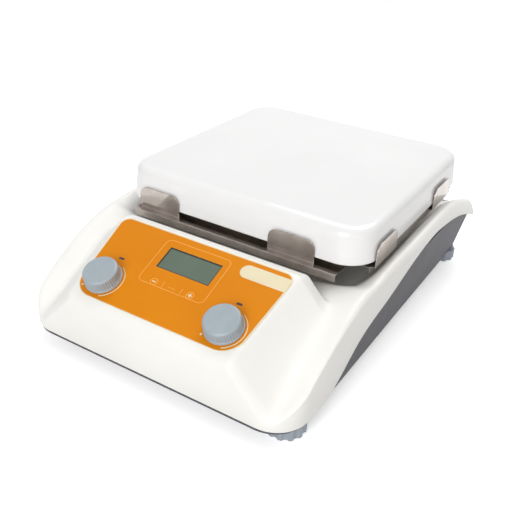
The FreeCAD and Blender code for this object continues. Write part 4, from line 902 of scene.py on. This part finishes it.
@dataclass
class ControlPanel:
    """Printed sheet, display, keys and lamps, in millimetres on the panel."""

    panel: Panel
    sheet: float = 0.6
    field_layer: float = 0.12
    border: tuple[float, float, float] = (1.2, 1.2, 0.4)
    low_round: float = 20.0
    high_round: float = 9.0
    display: tuple[float, float, float] = (53.4, 23.0, 17.3)
    display_round: float = 0.6
    # Width of the ring of painted shade round the display glass.
    display_recess_shade: float = 0.8
    display_line: tuple[float, float, float] = (66.4, 48.0, 5.0)
    display_line_place: tuple[float, float] = (-0.8, 12.0)
    display_line_width: float = 0.45
    key: tuple[float, float] = (12.9, 9.5)
    key_round: float = 0.8
    key_pitch: float = 15.6
    key_up: float = -7.6
    key_gap: float = 0.07
    key_sink: float = 0.15
    mark_drop: float = 0.7
    mark_shift: float = 2.7
    ring_radii: tuple[float, float] = (3.5, 3.05)
    bar: tuple[float, float] = (1.85, 0.48)
    dot_radius: float = 0.55
    dot_pitch: float = 2.4
    divider: tuple[float, float, float] = (0.4, 5.6, 0.15)
    divider_spread: float = 1.16
    dial_across: float = 60.9
    dial_up: float = -23.1
    arc_radius: float = 18.3
    arc_turns: tuple[float, float] = (64.0, -66.0)
    arc_widths: tuple[float, float] = (0.45, 1.05)
    arc_steps: int = 40
    spot_turn: float = -137.0
    spot_radius: float = 0.9
    lamp: tuple[float, float] = (5.6, 2.2)
    lamp_place: tuple[float, float] = (60.1, 0.8)
    pill_left: float = 42.6
    pill_span: tuple[float, float] = (24.8, 38.2)
    pill_round: float = 6.6
    ink: float = 0.04
    ink_root: float = 0.06

    def lay(self, name: str, loops: list[Loop], span: tuple[float, float] | None, finish: Finish,
            *nodes: str, body: str = "housing", slot: str = "orange_sheet") -> None:
        """Lay a flat piece on the panel and finish it.

        Args:
            name: Name of the piece.
            loops: Outline and holes, in the panel's frame.
            span: Its underside and top above the panel's face; ink on the sheet has none.
            finish: What it is made of.
            *nodes: Solids that it takes the place of.
            body: Body that it moves with.
            slot: Material slot of the record.
        """
        low, high = span or (self.sheet - self.ink_root, self.sheet + self.ink)
        finish_piece(self.panel.flat(name, loops, low, high), finish, body, slot, *nodes)

    def outline(self, top: float = 0.0, sides: float = 0.0, foot: float = 0.0) -> Loop:
        """Outline of the sheet, or one that lies inside it.

        Args:
            top: Inset at the top.
            sides: Inset at either side.
            foot: Inset at the foot.

        Returns:
            Points of the outline.
        """
        low = self.panel.low_width / 2 - sides
        high = self.panel.high_width / 2 - sides
        half = self.panel.length / 2
        corners = [(-low, foot - half), (low, foot - half), (high, half - top), (-high, half - top)]
        radii = [self.low_round - sides] * 2 + [self.high_round - sides] * 2
        return rounded_loop(corners, radii, 14)

    def openings(self) -> list[Loop]:
        """Openings of the sheet for the display and the keys.

        Returns:
            One outline for each opening.
        """
        width, height, up = self.display
        wide, high = (size + 2 * self.key_gap for size in self.key)
        loops = [box_loop(width, height, 0, up, self.display_round)]
        for index in (-1, 0, 1):
            loops.append(box_loop(wide, high, index * self.key_pitch, self.key_up,
                                  self.key_round + self.key_gap))
        return loops

    def dress(self) -> None:
        """Make every piece of the panel."""
        holes = self.openings()
        face = self.sheet - self.field_layer
        self.lay("panel_sheet", [self.outline()] + holes, (0.0, face), CREAM_INK, "control_overlay")
        field_loops = [self.outline(*self.border)] + holes
        self.lay("panel_orange_field", field_loops, (face, self.sheet), ORANGE_FILM)
        self.dress_prints()
        self.dress_display()
        self.dress_keys()
        for name, side in (("left", -1), ("right", 1)):
            across, up = side * self.lamp_place[0], self.lamp_place[1]
            loops = [box_loop(*self.lamp, across, up, 0.5 * self.lamp[1] - 0.02)]
            nodes = ("indicator_lamps",) if side < 0 else ()
            self.lay(f"{name}_lamp_window", loops, (self.sheet - 0.3, self.sheet + 0.05), LAMP_ABS,
                     *nodes, slot="lamp_plastic")

    def arc(self, x: float, y: float) -> Loop:
        """Curved stroke round a dial that grows towards its end.

        Args:
            x: Centre across the panel.
            y: Centre up the panel.

        Returns:
            Closed outline of the stroke.
        """
        (start, end), (thin, thick) = self.arc_turns, self.arc_widths
        outer, inner = [], []
        for step in range(self.arc_steps + 1):
            turn = math.radians(start + (end - start) * step / self.arc_steps)
            half = (thin + (thick - thin) * step / self.arc_steps) / 2
            for side, radius in ((outer, self.arc_radius + half), (inner, self.arc_radius - half)):
                side.append((x + radius * math.cos(turn), y + radius * math.sin(turn)))
        return outer + inner[::-1]

    def dress_prints(self) -> None:
        """Printed marks: bare pill, display outline, dial arcs and key dividers."""
        low, high = self.pill_span
        right = self.panel.edge(sum(self.pill_span) / 2) - 0.5
        corners = [(self.pill_left, low), (right - 0.9, low), (right - 0.3, high), (self.pill_left, high)]
        pill = rounded_loop(corners, [self.pill_round, 0.2, 0.2, self.pill_round], 12)
        self.lay("panel_bare_pill", [pill], None, CREAM_INK)
        width, height, radius = self.display_line
        thin = self.display_line_width
        line = [box_loop(width, height, *self.display_line_place, radius),
                box_loop(width - 2 * thin, height - 2 * thin, *self.display_line_place, radius - 0.5)]
        self.lay("panel_display_outline", line, None, PALE_INK)
        turn = math.radians(self.spot_turn)
        reach = self.arc_radius + 0.2
        for name, side in (("left", -1), ("right", 1)):
            x = side * self.dial_across
            spot = circle_loop(self.spot_radius, x + reach * math.cos(turn),
                               self.dial_up + reach * math.sin(turn), 20)
            self.lay(f"{name}_dial_arc", [self.arc(x, self.dial_up), spot], None, CREAM_INK)
        width, height, radius = self.divider
        across = self.key_pitch / 2 * self.divider_spread
        dividers = [box_loop(width, height, side * across, self.key_up, radius) for side in (-1, 1)]
        self.lay("panel_key_dividers", dividers, None, PALE_INK)

    def dress_display(self) -> None:
        """Ring of painted shade and grey-green glass in the sheet's opening; the ring is wider at the top
        and left as painted shadow of the recess.
        """
        width, height, up = self.display
        # The dark ring is painted shade: its hole is moved towards the lower right, so the ring is wider
        # at the top and left, where the recess casts its shadow.
        inset, shift = 2.5 * self.display_recess_shade, 0.35 * self.display_recess_shade
        ring = [box_loop(width - 0.02, height - 0.02, 0, up, self.display_round),
                box_loop(width - inset, height - inset, shift, up - shift, 0.4)]
        self.lay("display_recess_shade", ring, (0.05, self.sheet - 0.2), PAINTED_RECESS_SHADE, slot="black_plastic")
        pane = [box_loop(width - 0.4, height - 0.4, 0, up, 0.4)]
        self.lay("display_glass", pane, (-0.4, 0.2), LCD_GLASS, "display_window", slot="display_glass")

    def dress_keys(self) -> None:
        """Three keys with their marks: minus, three dots and plus."""
        dots = [circle_loop(self.dot_radius, step * self.dot_pitch, 0, 16) for step in (-1, 0, 1)]
        ring = [circle_loop(radius, 0, 0, 40) for radius in self.ring_radii]
        bar, stroke = self.bar
        minus = [[(-bar, -stroke), (bar, -stroke), (bar, stroke), (-bar, stroke)]]
        plus = [[(-bar, -stroke), (-stroke, -stroke), (-stroke, -bar), (stroke, -bar), (stroke, -stroke),
                 (bar, -stroke), (bar, stroke), (stroke, stroke), (stroke, bar), (-stroke, bar),
                 (-stroke, stroke), (-bar, stroke)]]
        for name, index, glyph in (("minus", -1, minus), ("mode", 0, dots), ("plus", 1, plus)):
            across = index * self.key_pitch
            body = f"{name}_button"
            cap = [box_loop(*self.key, across, self.key_up, self.key_round)]
            self.lay(f"{name}_key_cap", cap, (-self.key_sink, self.sheet), ORANGE_FILM, f"{name}_key",
                     body=body)
            across += index * self.mark_shift
            if index:
                self.lay(f"{name}_key_ring", self.moved(ring, across), None, PALE_INK, body=body)
            self.lay(f"{name}_key_sign", self.moved(glyph, across), None, CREAM_INK if index else PALE_INK,
                     body=body)

    def moved(self, loops: list[Loop], across: float) -> list[Loop]:
        """Outlines of a mark, moved to their place on a key."""
        return [[(x + across, y + self.key_up - self.mark_drop) for x, y in loop] for loop in loops]


@dataclass
class Dial:
    """Ribbed knob: skirt, coned grip with flutes and a dished face."""

    panel: Panel
    name: str
    across: float
    up: float = -23.1
    lift: float = 0.65
    base_radius: float = 16.5
    grip_radius: float = 15.9
    cap_radius: float = 15.3
    face_radius: float = 13.6
    skirt: float = 2.0
    height: float = 11.8
    flutes: int = 44
    flute_depth: float = 0.5
    steps: int = 360

    def profile(self) -> list[tuple[float, float, float]]:
        """Section of the knob, from its foot to the middle of its face.

        Returns:
            Radius, height and share of the flute's depth of each ring.
        """
        base, grip, cap, face = self.base_radius, self.grip_radius, self.cap_radius, self.face_radius
        foot, top = self.skirt, self.height
        return [
            (base - 2.5, 0.0, 0), (base - 0.5, 0.0, 0), (base, 0.4, 0), (base, foot - 1.0, 0),
            (base - 0.25, foot - 0.4, 0), (base - 0.8, foot, 0), (grip + 0.5, foot + 0.15, 0),
            (grip + 0.1, foot + 0.5, 1), (grip, foot + 1.0, 1), (grip - 0.5, foot + 4.0, 1),
            (cap + 0.15, top - 2.8, 1), (cap, top - 1.9, 0.5), (cap - 0.08, top - 1.5, 0),
            (cap - 0.3, top - 1.15, 0), (face + 0.2, top - 0.1, 0), (face - 0.2, top, 0),
            (face - 0.7, top - 0.05, 0), (face - 1.4, top - 0.25, 0), (0.5 * face, top - 0.3, 0),
            (0.5, top - 0.3, 0),
        ]

    def make(self) -> bpy.types.Object:
        """Knob with its flutes, standing on the panel.

        Returns:
            The knob.
        """
        points = []
        rings = self.profile()
        for radius, height, share in rings:
            for step in range(self.steps):
                turn = 2 * math.pi * step / self.steps
                wave = max(0.0, math.cos(self.flutes * turn)) ** 0.8
                reach = radius - share * self.flute_depth * wave
                across, up = self.across + reach * math.sin(turn), self.up + reach * math.cos(turn)
                points.append(self.panel.point(across, up, self.lift + height))
        return object_from(f"{self.name}_dial", points, ring_faces(len(rings), self.steps), 32.0)

    def dress(self) -> None:
        """Make the knob and let it turn with its shaft."""
        finish_piece(self.make(), KNOB_ABS, f"{self.name}_dial", "knob_plastic", f"{self.name}_knob")


@dataclass
class HotPlate:
    """Enamelled plate and the polished tray under it, in millimetres."""

    centre_y: float = 49.0
    half_side: float = 128.0
    rim_z: float = 98.0
    height: float = 32.0
    draft: float = 5.4
    corner: float = 30.0
    edge: float = 8.5
    least_corner: float = 6.0
    rim_round: float = 1.6
    wall: float = 6.0
    hollow: float = 23.0

    def rings(self) -> Loop:
        """Section of the plate, from the hollow's roof round the rim to the top.

        Returns:
            Inset and height of each ring.
        """
        lean = math.tan(math.radians(self.draft))
        rings = [(self.wall + lean * self.hollow, self.hollow), (self.wall, 1.0), (self.wall - 0.6, 0.2),
                 (self.rim_round + 0.4, 0.0)]
        for turn in range(15, 91, 15):
            angle = math.radians(turn)
            rings.append((self.rim_round * (1 - math.sin(angle)), self.rim_round * (1 - math.cos(angle))))
        low = self.height - self.edge
        rings.append((lean * low * 0.5, low * 0.5))
        for turn in range(0, 91, 9):
            angle = math.radians(turn)
            inset = lean * low + self.edge * (1 - math.cos(angle))
            rings.append((inset, low + self.edge * math.sin(angle)))
        rings.append((lean * low + self.edge + 6.0, self.height))
        return rings

    def make_plate(self) -> bpy.types.Object:
        """Upside-down pan with drafted sides and a rounded top edge.

        Returns:
            The plate.
        """
        points = []
        rings = self.rings()
        for inset, height in rings:
            half = self.half_side - inset
            corners = [(-half, -half), (half, -half), (half, half), (-half, half)]
            loop = rounded_loop(corners, [max(self.corner - inset, self.least_corner)] * 4, 18)
            points += [(x, y + self.centre_y, self.rim_z + height) for x, y in loop]
        faces = ring_faces(len(rings), len(points) // len(rings))
        return object_from("enamelled_plate", points, faces, 40.0)

    def dress(self) -> None:
        """Make the plate and finish the tray's folded edges."""
        finish_piece(self.make_plate(), ENAMEL, "housing", "enamel", "top_plate")
        tray = bevelled_copy("reflector_tray", "tray_and_clips", 0.3, 2)
        finish_piece(tray, POLISHED_STEEL, "housing", "polished_steel", "reflector_tray")


@dataclass
class Fittings:
    """Feet and rear sockets, with their edges rounded."""

    foot_bevel: float = 0.9
    socket_bevel: float = 0.4

    def dress(self) -> None:
        """Round and finish each fitting."""
        for end in ("front", "rear"):
            for side in ("left", "right"):
                node = f"{end}_{side}_foot"
                foot = bevelled_copy(node, f"{end}_{side}_levelling_foot", self.foot_bevel, 3)
                finish_piece(foot, FOOT_ABS, f"foot_{end}_{side}", "foot_rubber", node)
        sockets = (("mains_inlet", "mains_socket", "housing", BLACK_PBT, "black_plastic"),
                   ("switch_frame", "switch_bezel", "housing", BLACK_PBT, "black_plastic"),
                   ("switch_rocker", "switch_paddle", "rocker", BLACK_PBT, "black_plastic"),
                   ("probe_socket", "probe_jack", "housing", NICKEL, "steel"),
                   ("rod_socket", "support_rod_bush", "housing", NICKEL, "steel"))
        for node, name, body, finish, slot in sockets:
            piece = bevelled_copy(node, name, self.socket_bevel, 2)
            finish_piece(piece, finish, body, slot, node)


@dataclass
class Inside:
    """Solids inside the housing, which keep their own meshes."""

    finishes: dict[Finish, tuple[str, ...]]

    def dress(self) -> None:
        """Put each one's finish in its material slots."""
        for finish, names in self.finishes.items():
            for name in names:
                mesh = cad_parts[name].data
                mesh.materials.clear()
                mesh.materials.append(finish.material())
                LOG.info("%s: %s", name, finish.name)


@dataclass(frozen=True)
class Lamp:
    """Square soft lamp: place and side in metres, power in watts."""

    name: str
    place: tuple[float, float, float]
    side: float
    power: float
    colour: str = PURE_WHITE
    aim_height: float = 0.06

    def hang(self) -> None:
        """Put the lamp in the scene, turned to the object."""
        data = bpy.data.lights.new(self.name, "AREA")
        data.shape = "SQUARE"
        data.size = self.side
        data.energy = self.power
        data.color = rgb(self.colour)[:3]
        made = link_object(self.name, data)
        made.location = self.place
        aim = Vector((0, 0, self.aim_height)) - Vector(self.place)
        made.rotation_euler = aim.to_track_quat("-Z", "Y").to_euler()


@dataclass
class Studio:
    """Camera at the photograph's place, soft lamps, pale floor and backdrop."""

    camera_place: tuple[float, float, float] = (296.345, -540.068, 382.310)
    right: tuple[float, float, float] = (0.84987472, 0.52474981, 0.04848299)
    up: tuple[float, float, float] = (-0.30199983, 0.40957809, 0.8608379)
    back: tuple[float, float, float] = (0.43186695, -0.74624622, 0.50656442)
    focal: float = 47.874
    shift_up: float = 0.01737
    floor_side: float = 6.0
    floor_glow: float = 0.42
    floor_fade: tuple[float, float] = (0.5, 1.1)
    world_strength: float = 0.55
    lamps: tuple[Lamp, ...] = (
        Lamp("front_lamp", (0.25, -1.7, 0.85), 1.1, 19.0),
        Lamp("side_lamp", (1.5, -0.8, 0.4), 0.9, 3.5, "#FFFCF6"),
        Lamp("top_lamp", (-0.1, 0.8, 1.3), 1.1, 11.5),
    )

    def add_camera(self) -> None:
        """Camera with the photograph's viewing angle and framing."""
        data = bpy.data.cameras.new("photograph_camera")
        data.lens = self.focal
        data.sensor_width = 36.0
        data.shift_y = self.shift_up
        data.clip_start = 0.01
        data.clip_end = 20.0
        made = link_object("photograph_camera", data)
        turn = Matrix((self.right, self.up, self.back)).transposed().to_4x4()
        made.matrix_world = Matrix.Translation(Vector(self.camera_place) * MM) @ turn
        bpy.context.scene.camera = made

    def shown_share(self, tree: bpy.types.NodeTree) -> bpy.types.NodeSocket:
        """Share that is 1 where the background itself is seen, mirrored or seen through.

        Args:
            tree: Node tree of the floor or the world.

        Returns:
            The share, which is 0 for light that only falls on the object.
        """
        rays = add_node(tree, "ShaderNodeLightPath").outputs
        seen = rays["Is Camera Ray"]
        for kind in ("Is Glossy Ray", "Is Transmission Ray"):
            seen = add_node(tree, "ShaderNodeMath", {"operation": "ADD", "use_clamp": True},
                            links={0: seen, 1: rays[kind]}).outputs[0]
        return seen

    def add_floor(self) -> None:
        """Pale floor that looks white, fades to plain white and takes the object's shadow."""
        half = self.floor_side / 2
        mesh = bpy.data.meshes.new("floor")
        mesh.from_pydata([(-half, -half, 0), (half, -half, 0), (half, half, 0), (-half, half, 0)], [],
                         [(0, 1, 2, 3)])
        made = link_object("floor", mesh)
        material = bpy.data.materials.new("pale studio floor")
        material.use_nodes = True
        tree = material.node_tree
        tree.nodes.clear()
        matt = add_node(tree, "ShaderNodeBsdfDiffuse", values={"Color": rgb("#D8D8D8")})
        bright = add_node(tree, "ShaderNodeBsdfDiffuse", values={"Color": rgb(PURE_WHITE)})
        glow = add_node(tree, "ShaderNodeEmission",
                        values={"Color": rgb(PURE_WHITE), "Strength": self.floor_glow})
        near = add_node(tree, "ShaderNodeAddShader",
                        links={0: bright.outputs["BSDF"], 1: glow.outputs["Emission"]})
        far = add_node(tree, "ShaderNodeEmission", values={"Color": rgb(PURE_WHITE), "Strength": 1.0})
        place = add_node(tree, "ShaderNodeTexCoord").outputs["Object"]
        away = add_node(tree, "ShaderNodeVectorMath", {"operation": "LENGTH"}, links={0: place})
        ends = {"From Min": self.floor_fade[0], "From Max": self.floor_fade[1]}
        fade = add_node(tree, "ShaderNodeMapRange", values=ends, links={"Value": away.outputs["Value"]})
        shown = add_node(tree, "ShaderNodeMixShader", links={
            0: fade.outputs["Result"], 1: near.outputs["Shader"], 2: far.outputs["Emission"]})
        mixed = add_node(tree, "ShaderNodeMixShader", links={
            0: self.shown_share(tree), 1: matt.outputs["BSDF"], 2: shown.outputs["Shader"]})
        add_node(tree, "ShaderNodeOutputMaterial", links={"Surface": mixed.outputs["Shader"]})
        mesh.materials.append(material)

    def light_world(self) -> None:
        """White surround where it is seen or mirrored, softer grey light on the object."""
        world = bpy.data.worlds.new("studio")
        bpy.context.scene.world = world
        world.use_nodes = True
        tree = world.node_tree
        tree.nodes.clear()
        place = add_node(tree, "ShaderNodeTexCoord").outputs["Generated"]
        height = add_node(tree, "ShaderNodeSeparateXYZ", links={"Vector": place}).outputs["Z"]
        band = add_node(tree, "ShaderNodeValToRGB", links={"Fac": height})
        for stop, end, colour in zip(band.color_ramp.elements, (0.02, 0.75), ("#6B625C", "#F2F2F2")):
            stop.position, stop.color = end, rgb(colour)
        soft = add_node(tree, "ShaderNodeBackground", values={"Strength": self.world_strength},
                        links={"Color": band.outputs["Color"]})
        white = add_node(tree, "ShaderNodeBackground", values={"Color": rgb(PURE_WHITE), "Strength": 1.0})
        mixed = add_node(tree, "ShaderNodeMixShader", links={
            0: self.shown_share(tree), 1: soft.outputs["Background"], 2: white.outputs["Background"]})
        add_node(tree, "ShaderNodeOutputWorld", links={"Surface": mixed.outputs["Shader"]})

    def build(self) -> None:
        """Set up camera, lamps, floor and world."""
        self.add_camera()
        for lamp in self.lamps:
            lamp.hang()
        self.add_floor()
        self.light_world()
        bpy.context.scene.view_settings.view_transform = "Standard"


def main() -> None:
    """Build the studio and every sub-assembly in order."""
    logging.basicConfig(level=logging.INFO, format="%(message)s")
    Studio().build()
    panel = Panel()
    Shell(panel).dress()
    ControlPanel(panel).dress()
    for name, side in (("temperature", -1), ("speed", 1)):
        Dial(panel, name, side * ControlPanel.dial_across).dress()
    HotPlate().dress()
    Fittings().dress()
    Inside(INNER_FINISHES).dress()


if __name__ == "__main__":
    main()
